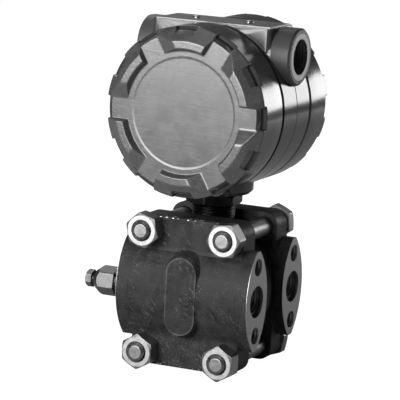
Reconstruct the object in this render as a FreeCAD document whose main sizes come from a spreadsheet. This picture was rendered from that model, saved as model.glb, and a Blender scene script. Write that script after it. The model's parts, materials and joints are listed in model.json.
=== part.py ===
import FreeCAD, Part
import Sketcher
import math
import os
import re
from FreeCAD import Placement, Rotation, Vector

# Differential pressure transmitter: two bolted process flanges clamp a
# capacitance cell, and a round two-compartment housing turns on the cell's
# threaded neck.  Millimetres and degrees.  The origin is the centre of the
# four tapped holes on the process face, +X leaves the process face, +Y goes
# from the front cover to the rear cover and +Z is up.

SIZES = {
    # process flanges
    "process_half_width": (42.86, "middle of the cell to either end face"),
    "port_spacing": (54.0, "centre distance of the two process ports"),
    "tap_spacing": (41.3, "vertical distance of the tapped holes"),
    "tap_radius": (5.25, "wall of the tapped holes"),
    "tap_depth": (15.0, "depth of the tapped holes"),
    "port_radius": (6.85, "wall of the pipe-threaded port"),
    "port_depth": (17.0, "depth of the pipe thread"),
    "port_recess_radius": (9.6, "counterbore at the mouth of the port"),
    "port_recess_depth": (2.5, "depth of that counterbore"),
    "passage_radius": (3.0, "drilled passages to the cell"),
    "passage_reach": (12.0, "passage centre from the middle of the cell"),
    "ear_half_width": (35.2, "flat bolting plate, half width"),
    "ear_half_height": (45.7, "flat bolting plate, half height"),
    "ear_thickness": (17.0, "flat bolting plate"),
    "ear_corner": (8.0, "corner radius of the bolting plate"),
    "ear_edge": (1.0, "bevel of the bolting plate's outer edge"),
    "ear_gap": (33.0, "distance between the two bolting plates"),
    "band_half_height": (30.2, "lens-section band, middle to tip"),
    "band_half_depth": (15.1, "lens-section band, middle to crown"),
    "band_tip": (2.4, "half thickness of the blunt tip"),
    "pad_half_width": (9.8, "upright raised pad on the crown"),
    "pad_height": (47.0, "overall height of that pad"),
    "pad_rise": (0.6, "pad above the crown"),
    # flange bolts and nuts
    "bolt_half_width": (26.5, "bolt centres from the middle, sideways"),
    "bolt_half_height": (37.0, "bolt centres from the middle, up and down"),
    "bolt_radius": (5.55, "shank"),
    "bolt_clearance": (0.45, "radial clearance in the flange holes"),
    "nut_across": (19.05, "nuts and bolt heads across flats"),
    "nut_height": (10.7, "heavy hexagon nut"),
    "head_height": (7.2, "bolt head"),
    "bolt_end": (1.7, "bolt end beyond its nut"),
    # capacitance cell and neck
    "cell_radius": (37.0, "weld rings of the cell"),
    "cell_waist": (34.5, "middle band of the cell"),
    "cell_clearance": (0.4, "radial clearance in the flange recess"),
    "chamber_radius": (20.0, "pressure chamber in the flange"),
    "chamber_depth": (2.0, "pressure chamber in the flange"),
    "diaphragm_thickness": (0.5, "isolating diaphragm with its rim"),
    "seal_radius": (23.4, "centre line of the process ring seal"),
    "seal_section": (1.5, "section radius of the process ring seal"),
    "neck_radius": (13.2, "threaded neck"),
    "neck_top": (66.0, "end of the neck above the middle of the cell"),
    "saddle_radius": (18.0, "welded foot of the neck"),
    "saddle_top": (40.5, "top of that foot"),
    "lock_across": (30.3, "neck lock nut across flats"),
    "lock_height": (7.4, "neck lock nut"),
    "lock_gap": (0.3, "lock nut below the housing boss"),
    "running_gap": (0.05, "radial clearance of parts that turn"),
    # vent valves
    "vent_across": (15.9, "valve seat across flats"),
    "vent_collar": (5.6, "neck between flange and seat hexagon"),
    "vent_hexagon": (14.2, "length of the seat hexagon with its nose"),
    "vent_nose": (4.6, "tapered nose of the seat"),
    "vent_nose_radius": (5.7, "end of the nose"),
    "vent_thread": (12.0, "seat thread inside the flange"),
    "stem_radius": (3.6, "threaded part of the vent stem"),
    "stem_gap": (2.4, "groove between seat and stem head"),
    "stem_across": (9.5, "stem head across flats"),
    "stem_head": (4.4, "length of the stem head"),
    # electronics housing
    "axis_height": (110.7, "housing axis above the middle of the cell"),
    "barrel_radius": (50.8, "outside of housing and covers"),
    "waist_half_width": (18.8, "housing between the two cover joints"),
    "thread_radius": (46.6, "threaded ends that carry the covers"),
    "thread_end": (40.5, "end of those threads from the middle"),
    "thread_wall": (4.1, "wall under the cover threads"),
    "boss_radius": (23.4, "round boss over the neck"),
    "boss_bottom": (58.2, "its lower face above the middle of the cell"),
    "boss_chamfer": (2.1, "bevel around that face"),
    "boss_slot": (2.6, "width of the upright slot in the boss"),
    "lead_radius": (9.0, "passage for the sensor leads"),
    "pad_over_axis": (49.8, "flat pad for the name plate above the housing axis"),
    "bridge_half_length": (38.5, "block between the conduit hubs"),
    "bridge_half_width": (17.4, "block between the conduit hubs"),
    "bridge_corner": (3.0, "rounded upright corners of that block"),
    "hub_over_axis": (33.1, "conduit axis above the housing axis"),
    "hub_radius": (17.2, "conduit hub"),
    "hub_reach_right": (51.0, "right hub face from the middle"),
    "hub_reach_left": (48.5, "left hub face from the middle"),
    "hub_edge": (1.2, "broken edge around the hub face"),
    "conduit_radius": (10.65, "wall of the conduit thread"),
    "conduit_depth": (17.0, "depth of the conduit thread"),
    "conduit_passage": (8.0, "radius of the cable passage behind it"),
    "wall_thickness": (3.5, "wall between the compartments"),
    "wall_offset": (11.3, "that wall from the middle, front and rear"),
    "step_over_axis": (14.8, "step of that wall above the housing axis"),
    # covers
    "cover_face": (50.1, "central disc from the middle of the housing"),
    "cover_joint": (20.8, "open edge of the cover's skirt"),
    "cover_web": (4.0, "thickness under the pockets"),
    "disc_radius": (36.1, "central disc"),
    "pocket_depth": (4.9, "pockets below the disc"),
    "pocket_radius": (43.0, "flat floor of the pockets"),
    "rim_inner": (50.0, "inner edge of the rim"),
    "rim_drop": (0.6, "rim below the disc"),
    "rim_edge": (1.2, "turned-down outer edge of the rim"),
    "rim_draft": (3.2, "length of that edge along the cover"),
    "spoke_width": (11.7, "flat spokes at their outer end"),
    "spoke_root": (13.2, "flat spokes where they leave the disc"),
    "spoke_reach": (46.4, "outer end of the spokes"),
    "lug_inner": (38.3, "arc lugs, inner radius"),
    "lug_outer": (42.1, "arc lugs, outer radius"),
    "lug_half_angle": (14.0, "arc lugs, half of their angle"),
    "lug_turn": (26.5, "middle of a lug from the middle of a spoke"),
    "lug_rise": (4.2, "arc lugs above the disc"),
    "notch_radius": (48.4, "floor of the rim notches"),
    "notch_half_angle": (7.4, "rim notches, half of their angle"),
    "notch_depth": (5.5, "rim notches below the disc"),
    "thread_clearance": (0.3, "cover thread over housing thread"),
    "ring_width": (2.3, "square section of the cover's ring seal"),
    "seal_clearance": (0.25, "ring seal to the thread and to the shoulder"),
    # name plate and adjusting screws
    "plate_half_length": (36.9, "name plate"),
    "plate_half_width": (15.0, "name plate"),
    "plate_thickness": (0.8, "name plate"),
    "plate_screw_offset": (17.2, "its screws from the middle"),
    "plate_screw_radius": (1.5, "shank of its screws"),
    "plate_head_radius": (2.6, "head of its screws"),
    "plate_head_height": (1.3, "head of its screws"),
    "adjuster_radius": (2.5, "zero and span screws"),
    "adjuster_offset": (8.5, "zero and span screws from the middle"),
    "adjuster_length": (7.4, "zero and span screws"),
    # inside the compartments
    "block_half_length": (27.0, "terminal block"),
    "block_depth": (12.0, "terminal block"),
    "block_height": (24.0, "terminal block"),
    "terminal_pitch": (13.0, "spacing of the terminal screws"),
    "terminal_radius": (3.4, "head of the terminal screws"),
    "terminal_head": (2.6, "head of the terminal screws"),
    "board_gap": (4.0, "circuit boards to the inside of the compartment"),
    "board_thickness": (1.6, "circuit boards"),
    "board_space": (7.0, "space in front of each board"),
    "post_across": (5.0, "hexagon spacer posts of the boards, across flats"),
    "post_stud": (1.5, "stud through the spacer posts and boards"),
    "post_inset": (5.5, "spacer posts from the edge of the boards"),
}

# Sizes that follow from others.
DERIVED = {
    "pad_top": "(axis_height + pad_over_axis)",
    "hub_height": "(axis_height + hub_over_axis)",
    "wall_step": "(axis_height + step_over_axis)",
    "cavity_radius": "(thread_radius - thread_wall)",
    "board_radius": "(cavity_radius - board_gap)",
    "post_circle": "(board_radius - post_inset)",
}

doc = FreeCAD.newDocument("pressure_transmitter")
sheet = doc.addObject("Spreadsheet::Sheet", "Sizes")
for row, (alias, (number, meaning)) in enumerate(SIZES.items(), start=1):
    sheet.set(f"A{row}", meaning)
    sheet.set(f"B{row}", str(number))
    sheet.setAlias(f"B{row}", alias)
doc.recompute()

ALONG = {
    "x": Rotation(Vector(0, 1, 0), 90),
    "-x": Rotation(Vector(0, 1, 0), -90),
    "y": Rotation(Vector(1, 0, 0), -90),
    "-y": Rotation(Vector(1, 0, 0), 90),
    "z": Rotation(),
}
MIDDLE = "-process_half_width"


# ---------------------------------------------------------------- helpers

def link(formula):
    """Turns size names in a formula into references to the sheet."""
    def reference(match):
        word = match.group(0)
        if word in DERIVED:
            return link(DERIVED[word])
        return "Sizes." + word if word in SIZES else word
    return re.sub(r"[a-z_]+", reference, str(formula))


def size(formula):
    """The present number of a formula of sizes."""
    return float(sheet.evalExpression(link(formula)))


def bind(item, **formulas):
    for path, formula in formulas.items():
        item.setExpression(path, link(formula))
    return item


def place(item, at, along="z", turn=0.0):
    """Puts an item at a point given from the middle of the cell."""
    item.Placement = Placement(Vector(), ALONG[along] * Rotation(Vector(0, 0, 1), turn))
    x, y, z = at
    item.setExpression("Placement.Base.x", link(f"{x} - process_half_width"))
    item.setExpression("Placement.Base.y", link(y))
    item.setExpression("Placement.Base.z", link(z))
    return item


def cylinder(name, radius, height, at, along="z"):
    item = bind(doc.addObject("Part::Cylinder", name), Radius=radius, Height=height)
    return place(item, at, along)


def cone(name, radius_start, radius_end, height, at, along="z"):
    item = doc.addObject("Part::Cone", name)
    bind(item, Radius1=radius_start, Radius2=radius_end, Height=height)
    return place(item, at, along)


def tube(name, outer, inner, height, at, along="z"):
    bar = cylinder(name + "_bar", outer, height, at, along)
    return cut(name, bar, cylinder(name + "_hole", inner, height, at, along))


def box(name, low, high):
    """An upright box between two corners given from the middle of the cell."""
    item = doc.addObject("Part::Box", name)
    bind(item, Length=f"({high[0]}) - ({low[0]})", Width=f"({high[1]}) - ({low[1]})",
         Height=f"({high[2]}) - ({low[2]})")
    return place(item, low)


def fuse(name, *items):
    item = doc.addObject("Part::MultiFuse", name)
    item.Shapes = list(items)
    item.Refine = True
    return item


def common(name, *items):
    item = doc.addObject("Part::MultiCommon", name)
    item.Shapes = list(items)
    return item


def cut(name, base, *tools):
    item = doc.addObject("Part::Cut", name)
    item.Base = base
    item.Tool = tools[0] if len(tools) == 1 else fuse(name + "_tools", *tools)
    item.Refine = True
    return item


def mirror(name, source):
    """The same piece on the other side of the plane between the flanges."""
    item = doc.addObject("Part::Mirroring", name)
    item.Source = source
    item.Normal = Vector(0, 1, 0)
    return item


def finish_edges(kind, name, base, amount, picks):
    """Part::Fillet or Part::Chamfer on the edges of a feature that pass the test."""
    doc.recompute()
    item = doc.addObject(kind, name)
    item.Base = base
    item.Edges = [(index, size(amount), size(amount))
                  for index, edge in enumerate(base.Shape.Edges, start=1) if picks(edge)]
    return item


def hexagon_bar(name, across, height, at, along, turn=0.0):
    item = doc.addObject("Part::Prism", name)
    item.Polygon = 6
    bind(item, Circumradius=f"{across} / sqrt(3)", Height=height)
    return place(item, at, along, turn)


def hexagon(name, across, height, at, along, turn=0.0, bevel="across * 0.03"):
    """A hexagon bar whose far end is turned to a 30 degree bevel."""
    bevel = bevel.replace("across", across)
    prism = hexagon_bar(name + "_bar", across, height, at, along, turn)
    top = f"({across} / 2 - {bevel})"
    turned = cone(name + "_turning", f"{top} + ({height}) * sqrt(3)", top, height, at, along)
    return common(name, prism, turned)


PLANES = {"XY": "XY_Plane", "XZ": "XZ_Plane", "YZ": "YZ_Plane"}
subparts = []


def subpart(node, item):
    item.Label = node
    subparts.append(item)
    return item


def new_body(name, at, along="z"):
    return place(doc.addObject("PartDesign::Body", name), at, along)


def new_sketch(body, name, plane, offset="0"):
    """A sketch on one of the body's own origin planes, moved along its normal."""
    sketch = body.newObject("Sketcher::SketchObject", name)
    origin_plane = [feature for feature in body.Origin.OriginFeatures
                    if feature.Role == PLANES[plane]][0]
    sketch.AttachmentSupport = [(origin_plane, "")]
    sketch.MapMode = "FlatFace"
    sketch.setExpression("AttachmentOffset.Base.z", link(offset))
    return sketch


def dimension(sketch, kind, elements, formula):
    """A driving dimension tied to the sheet."""
    index = sketch.addConstraint(Sketcher.Constraint(kind, *elements, size(formula)))
    sketch.setExpression(f"Constraints[{index}]", link(formula))


def outline(sketch, points):
    """A closed outline of straight lines through points given as formulas."""
    numbers = [(size(x), size(y)) for x, y in points]
    count = len(points)
    for i, (x, y) in enumerate(numbers):
        far_x, far_y = numbers[(i + 1) % count]
        sketch.addGeometry(Part.LineSegment(Vector(x, y, 0), Vector(far_x, far_y, 0)), False)
    for i in range(count):
        sketch.addConstraint(Sketcher.Constraint("Coincident", i, 2, (i + 1) % count, 1))
    for i, (x, y) in enumerate(points):
        dimension(sketch, "DistanceX", (-1, 1, i, 1), x)
        dimension(sketch, "DistanceY", (-1, 1, i, 1), y)
    return sketch


def sector(sketch, inner, outer, half_angle):
    """A piece of a ring, symmetric about the sketch's horizontal axis."""
    r_in, r_out, half = size(inner), size(outer), math.radians(size(half_angle))
    axis = Vector(0, 0, 1)

    def on_circle(radius, angle):
        return Vector(radius * math.cos(angle), radius * math.sin(angle), 0)

    sketch.addGeometry(Part.ArcOfCircle(Part.Circle(Vector(), axis, r_in), -half, half), False)
    sketch.addGeometry(Part.LineSegment(on_circle(r_in, half), on_circle(r_out, half)), False)
    sketch.addGeometry(Part.ArcOfCircle(Part.Circle(Vector(), axis, r_out), -half, half), False)
    sketch.addGeometry(Part.LineSegment(on_circle(r_out, -half), on_circle(r_in, -half)), False)
    for ends in ((0, 2, 1, 1), (1, 2, 2, 2), (2, 1, 3, 1), (3, 2, 0, 1)):
        sketch.addConstraint(Sketcher.Constraint("Coincident", *ends))
    for arc, radius in ((0, inner), (2, outer)):
        sketch.addConstraint(Sketcher.Constraint("Coincident", arc, 3, -1, 1))
        dimension(sketch, "Radius", (arc,), radius)
    for line in (1, 3):
        sketch.addConstraint(Sketcher.Constraint("PointOnObject", -1, 1, line))
    for line, angle, formula in ((1, half, f"{half_angle} * 1deg"),
                                 (3, math.pi - half, f"180deg - {half_angle} * 1deg")):
        index = sketch.addConstraint(Sketcher.Constraint("Angle", line, angle))
        sketch.setExpression(f"Constraints[{index}]", link(formula))
    return sketch


def circle(sketch, x, y, radius):
    centre = Vector(size(x), size(y), 0)
    sketch.addGeometry(Part.Circle(centre, Vector(0, 0, 1), size(radius)), False)
    index = sketch.GeometryCount - 1
    dimension(sketch, "Radius", (index,), radius)
    if str(x) == "0" and str(y) == "0":
        sketch.addConstraint(Sketcher.Constraint("Coincident", index, 3, -1, 1))
    else:
        dimension(sketch, "DistanceX", (-1, 1, index, 3), x)
        dimension(sketch, "DistanceY", (-1, 1, index, 3), y)
    return sketch


def revolve(body, sketch, name="Revolution"):
    item = body.newObject("PartDesign::Revolution", name)
    item.Profile = sketch
    item.ReferenceAxis = (sketch, ["V_Axis"])
    item.Angle = 360.0
    return item


def pad(body, sketch, length, name="Pad", both_ways=False):
    item = body.newObject("PartDesign::Pad", name)
    item.Profile = sketch
    item.Midplane = both_ways
    item.setExpression("Length", link(length))
    return item


def pocket(body, sketch, length, name="Pocket"):
    item = body.newObject("PartDesign::Pocket", name)
    item.Profile = sketch
    item.setExpression("Length", link(length))
    return item


def repeat_round(body, feature, count, name):
    """Repeats a feature evenly about the body's own Z axis."""
    axis = [item for item in body.Origin.OriginFeatures if item.Role == "Z_Axis"][0]
    item = body.newObject("PartDesign::PolarPattern", name)
    item.Originals = [feature]
    item.Axis = (axis, [""])
    item.Angle = 360.0
    item.Occurrences = count
    body.Tip = item
    return item


# ---------------------------------------------------------------- flanges

def process_flange(node):
    """Bolting plate, lens-section band across it and an upright pad."""
    body = new_body(node + "_body", ("0", "-port_spacing / 2", "0"))
    plate_front = "(ear_gap / 2 + ear_thickness - port_spacing / 2)"

    plate = new_sketch(body, "PlateSketch", "XZ", plate_front + " - ear_thickness")
    outline(plate, [("-ear_half_width", "-ear_half_height"), ("ear_half_width", "-ear_half_height"),
                    ("ear_half_width", "ear_half_height"), ("-ear_half_width", "ear_half_height")])
    pad(body, plate, "ear_thickness", "Plate")
    doc.recompute()
    solid = body.Tip
    corners = [f"Edge{i}" for i, edge in enumerate(solid.Shape.Edges, start=1)
               if abs(edge.Length - size("ear_thickness")) < 0.01]
    rounding = body.newObject("PartDesign::Fillet", "Corners")
    rounding.Base = (solid, corners)
    rounding.setExpression("Radius", link("ear_corner"))
    doc.recompute()
    front = -size(plate_front)
    rim = [f"Edge{i}" for i, edge in enumerate(rounding.Shape.Edges, start=1)
           if all(abs(vertex.Y - front) < 0.01 for vertex in edge.Vertexes)]
    bevel = body.newObject("PartDesign::Chamfer", "OuterEdge")
    bevel.Base = (rounding, rim)
    bevel.setExpression("Size", link("ear_edge"))

    band = new_sketch(body, "BandSketch", "YZ")
    lens(band, "band_half_depth", "band_half_height", "band_tip")
    pad(body, band, "2 * process_half_width", "Band", both_ways=True)

    raised = new_sketch(body, "PadSketch", "XZ", "0")
    stadium(raised, "pad_half_width", "pad_height")
    pad(body, raised, "band_half_depth + pad_rise", "CrownPad")

    inner = "(port_spacing - ear_gap) / 2"
    recess = new_sketch(body, "CellRecess", "XZ", "-band_half_depth - 1")
    circle(recess, "0", "0", "cell_radius + cell_clearance")
    recessed = pocket(body, recess, f"band_half_depth + 1 - {inner}", "CellRecessCut")
    recessed.Reversed = True

    chamber = new_sketch(body, "Chamber", "XZ", f"-{inner} - 0.5")
    circle(chamber, "0", "0", "chamber_radius")
    chamber_cut = pocket(body, chamber, "chamber_depth + 0.5", "ChamberCut")
    chamber_cut.Reversed = True

    groove = new_sketch(body, "SealGroove", "XZ", f"-{inner} - 0.5")
    circle(groove, "0", "0", "seal_radius - seal_section - 0.3")
    circle(groove, "0", "0", "seal_radius + seal_section + 0.3")
    groove_cut = pocket(body, groove, "2 * seal_section + 0.5", "SealGrooveCut")
    groove_cut.Reversed = True

    bolts = new_sketch(body, "BoltHoles", "XZ", "band_half_depth + 5")
    for x in ("-bolt_half_width", "bolt_half_width"):
        for z in ("-bolt_half_height", "bolt_half_height"):
            circle(bolts, x, z, "bolt_radius + bolt_clearance")
    pocket(body, bolts, "2 * band_half_depth + 10", "BoltHolesCut")

    taps = new_sketch(body, "TappedHoles", "YZ", "process_half_width")
    for z in ("-tap_spacing / 2", "tap_spacing / 2"):
        circle(taps, "0", z, "tap_radius")
    pocket(body, taps, "tap_depth", "TappedHolesCut")

    port = new_sketch(body, "Port", "YZ", "process_half_width")
    circle(port, "0", "0", "port_radius")
    pocket(body, port, "port_depth", "PortCut")
    mouth = new_sketch(body, "PortMouth", "YZ", "process_half_width")
    circle(mouth, "0", "0", "port_recess_radius")
    pocket(body, mouth, "port_recess_depth", "PortMouthCut")
    vent = new_sketch(body, "VentPort", "YZ", "-process_half_width")
    circle(vent, "0", "0", "port_radius")
    vent_cut = pocket(body, vent, "port_depth", "VentPortCut")
    vent_cut.Reversed = True

    drilled = new_sketch(body, "Passage", "YZ", "process_half_width")
    circle(drilled, "0", "0", "passage_radius")
    pocket(body, drilled, "process_half_width - passage_reach + passage_radius", "PassageCut")
    drilled_vent = new_sketch(body, "VentPassage", "YZ", "-process_half_width")
    circle(drilled_vent, "0", "0", "passage_radius")
    vent_passage = pocket(body, drilled_vent,
                          "process_half_width - passage_reach + passage_radius", "VentPassageCut")
    vent_passage.Reversed = True
    cross = new_sketch(body, "CrossPassages", "XZ", f"-{inner} - 0.5")
    for x in ("-passage_reach", "passage_reach"):
        circle(cross, x, "0", "passage_radius")
    cross_cut = pocket(body, cross, f"{inner} + 0.5", "CrossPassagesCut")
    cross_cut.Reversed = True
    return subpart(node, body)


def lens(sketch, half_depth, half_height, tip):
    """Two equal arcs between two blunt tips, standing on its narrow end."""
    w, h, t = size(half_depth), size(half_height), size(tip)
    right = Part.Arc(Vector(t, -h, 0), Vector(w, 0, 0), Vector(t, h, 0))
    left = Part.Arc(Vector(-t, h, 0), Vector(-w, 0, 0), Vector(-t, -h, 0))
    sketch.addGeometry(right, False)
    sketch.addGeometry(Part.LineSegment(Vector(t, h, 0), Vector(-t, h, 0)), False)
    sketch.addGeometry(left, False)
    sketch.addGeometry(Part.LineSegment(Vector(-t, -h, 0), Vector(t, -h, 0)), False)
    for ends in ((0, 2, 1, 1), (1, 2, 2, 1), (2, 2, 3, 1), (3, 2, 0, 1)):
        sketch.addConstraint(Sketcher.Constraint("Coincident", *ends))
    for line, x, y in ((1, tip, half_height), (3, f"-{tip}", f"-{half_height}")):
        dimension(sketch, "DistanceX", (-1, 1, line, 1), x)
        dimension(sketch, "DistanceY", (-1, 1, line, 1), y)
    sketch.addConstraint(Sketcher.Constraint("Symmetric", 1, 1, 1, 2, -2))
    sketch.addConstraint(Sketcher.Constraint("Symmetric", 3, 1, 3, 2, -2))
    radius = f"(({half_height}) ^ 2 + ({half_depth} - {tip}) ^ 2) / (2 * ({half_depth} - {tip}))"
    for arc in (0, 2):
        dimension(sketch, "Radius", (arc,), radius)


def stadium(sketch, half_width, height):
    """An upright slot outline: two half circles joined by straight sides."""
    r, half = size(half_width), size(f"{height} / 2 - {half_width}")
    axis = Vector(0, 0, 1)
    top = Part.ArcOfCircle(Part.Circle(Vector(0, half, 0), axis, r), 0, math.pi)
    bottom = Part.ArcOfCircle(Part.Circle(Vector(0, -half, 0), axis, r), math.pi, 2 * math.pi)
    sketch.addGeometry(top, False)
    sketch.addGeometry(Part.LineSegment(Vector(-r, half, 0), Vector(-r, -half, 0)), False)
    sketch.addGeometry(bottom, False)
    sketch.addGeometry(Part.LineSegment(Vector(r, -half, 0), Vector(r, half, 0)), False)
    for ends in ((0, 2, 1, 1), (1, 2, 2, 1), (2, 2, 3, 1), (3, 2, 0, 1)):
        sketch.addConstraint(Sketcher.Constraint("Tangent", *ends))
    for arc, sign in ((0, ""), (2, "-")):
        sketch.addConstraint(Sketcher.Constraint("PointOnObject", arc, 3, -2))
        dimension(sketch, "DistanceY", (-1, 1, arc, 3), f"{sign}({height} / 2 - {half_width})")
    dimension(sketch, "Radius", (0,), half_width)


front_flange = process_flange("front_flange")
rear_flange = subpart("rear_flange", mirror("rear_flange_mirror", front_flange))

# Nuts stand as they were tightened, so each hexagon has its own turn.
FASTENERS = (("upper_left", "-", "", -17.0, 10.0), ("upper_right", "", "", 0.0, 25.0),
             ("lower_left", "-", "-", 30.0, 5.0), ("lower_right", "", "-", 30.0, 40.0))
for place_name, side, level, nut_turn, head_turn in FASTENERS:
    x, z = f"{side}bolt_half_width", f"{level}bolt_half_height"
    rear = "ear_gap / 2 + ear_thickness"
    nut = hexagon("nut_" + place_name, "nut_across", "nut_height", (x, f"-({rear})", z), "-y", nut_turn)
    bore = cylinder("nut_bore_" + place_name, "bolt_radius", "nut_height", (x, f"-({rear})", z), "-y")
    subpart("flange_nut_" + place_name, cut("nut_cut_" + place_name, nut, bore))
    head = hexagon("head_" + place_name, "nut_across", "head_height", (x, rear, z), "y", head_turn)
    end = f"{rear} + nut_height + bolt_end"
    shank = cylinder("shank_" + place_name, "bolt_radius", f"{rear} + {end} - 1",
                     (x, f"-({end}) + 1", z), "y")
    tip = cone("tip_" + place_name, "bolt_radius", "bolt_radius - 1", "1", (x, f"-({end}) + 1", z), "-y")
    subpart("flange_bolt_" + place_name, fuse("bolt_" + place_name, head, shank, tip))


# ------------------------------------------------- cell, seals and neck

def cell_module():
    """Welded cell with stepped rings, its foot and the threaded neck."""
    body = new_body("cell_body", ("0", "0", "0"), "y")
    profile = new_sketch(body, "CellProfile", "XZ")
    half = "(ear_gap / 2)"
    outline(profile, [
        ("0", f"-{half} + diaphragm_thickness"),
        ("chamber_radius", f"-{half} + diaphragm_thickness"),
        ("chamber_radius", f"-{half}"), ("cell_radius", f"-{half}"),
        ("cell_radius", f"-{half} * 0.45"), ("cell_waist", f"-{half} * 0.36"),
        ("cell_waist", f"{half} * 0.36"), ("cell_radius", f"{half} * 0.45"),
        ("cell_radius", half), ("chamber_radius", half),
        ("chamber_radius", f"{half} - diaphragm_thickness"),
        ("0", f"{half} - diaphragm_thickness")])
    revolve(body, profile)
    foot_bar = cylinder("foot_bar", "saddle_radius", "saddle_top - cell_waist + 8",
                        ("0", "0", "cell_waist - 8"))
    foot_flats = box("foot_flats", ("-saddle_radius", "-ear_gap / 2 + 0.6", "cell_waist - 8"),
                     ("saddle_radius", "ear_gap / 2 - 0.6", "saddle_top"))
    foot = common("neck_foot", foot_bar, foot_flats)
    neck = cylinder("neck", "neck_radius", "neck_top - cell_waist + 10.8", ("0", "0", "cell_waist - 12"))
    neck_end = cone("neck_end", "neck_radius", "neck_radius - 1.2", "1.2", ("0", "0", "neck_top - 1.2"))
    bore = cylinder("header_bore", "lead_radius - 1", "6", ("0", "0", "neck_top - 6"))
    return subpart("sensor_module", cut("module", fuse("module_solid", body, foot, neck, neck_end), bore))


cell_module()

for side_name, sign, along in (("front", "-", "-y"), ("rear", "", "y")):
    seat = f"{sign}(ear_gap / 2 - diaphragm_thickness)"
    disc = cylinder(side_name + "_disc", "chamber_radius - 0.1", "diaphragm_thickness * 0.5",
                    ("0", seat, "0"), along)
    weld = tube(side_name + "_weld", "chamber_radius - 0.1", "chamber_radius - 1.6",
                "diaphragm_thickness", ("0", seat, "0"), along)
    subpart(side_name + "_diaphragm", fuse(side_name + "_membrane", disc, weld))
    subpart(side_name + "_process_seal",
            tube(side_name + "_seal", "seal_radius + seal_section", "seal_radius - seal_section",
                 "2 * seal_section", ("0", f"{sign}ear_gap / 2", "0"), along))

lock = hexagon("lock_bar", "lock_across", "lock_height",
               ("0", "0", "boss_bottom - lock_gap - lock_height"), "z", 33.0)
lock_bore = cylinder("lock_bore", "neck_radius + running_gap", "lock_height",
                     ("0", "0", "boss_bottom - lock_gap - lock_height"))
subpart("lock_nut", cut("lock_cut", lock, lock_bore))


# ---------------------------------------------------------- vent valves

def vent_valve(side_name, sign):
    """Pipe-threaded seat in the flange's end and the screw that opens it."""
    y = f"{sign}port_spacing / 2"
    face = MIDDLE
    hexagon_start = f"{face} - vent_collar"
    nose_start = f"{hexagon_start} - vent_hexagon + vent_nose"
    stub = cylinder(f"{side_name}_vent_stub", "port_radius - 0.05", "vent_thread + vent_collar",
                    (f"{hexagon_start}", y, "0"), "x")
    bar = hexagon_bar(f"{side_name}_vent_bar", "vent_across", "vent_hexagon",
                      (hexagon_start, y, "0"), "-x", 10.0)
    wide = cylinder(f"{side_name}_vent_wide", "vent_across / sqrt(3)", "vent_hexagon - vent_nose",
                    (hexagon_start, y, "0"), "-x")
    nose = cone(f"{side_name}_vent_nose", "vent_across / sqrt(3)", "vent_nose_radius", "vent_nose",
                (nose_start, y, "0"), "-x")
    shaped = common(f"{side_name}_vent_shape", bar, fuse(f"{side_name}_vent_turned", wide, nose))
    screw_hole = cylinder(f"{side_name}_vent_hole", "stem_radius + running_gap", "vent_hexagon + 4",
                          (f"{hexagon_start} + 4", y, "0"), "-x")
    drill = cylinder(f"{side_name}_vent_drill", "1.6", "vent_thread + vent_collar",
                     (f"{hexagon_start} + vent_thread + vent_collar", y, "0"), "-x")
    solid = fuse(f"{side_name}_vent_solid", stub, shaped)
    subpart(f"{side_name}_vent_seat", cut(f"{side_name}_vent_cut", solid, screw_hole, drill))

    stem_end = f"{hexagon_start} - vent_hexagon"
    shank = cylinder(f"{side_name}_stem_shank", "stem_radius", "vent_hexagon + stem_gap",
                     (hexagon_start, y, "0"), "-x")
    tip = cone(f"{side_name}_stem_tip", "stem_radius", "1.0", "2.6", (hexagon_start, y, "0"), "x")
    head = hexagon(f"{side_name}_stem_head", "stem_across", "stem_head",
                   (f"{stem_end} - stem_gap", y, "0"), "-x", 8.0, "across * 0.14")
    subpart(f"{side_name}_vent_stem", fuse(f"{side_name}_stem", shank, tip, head))


vent_valve("front", "-")
vent_valve("rear", "")


# ---------------------------------------------------- electronics housing

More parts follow.
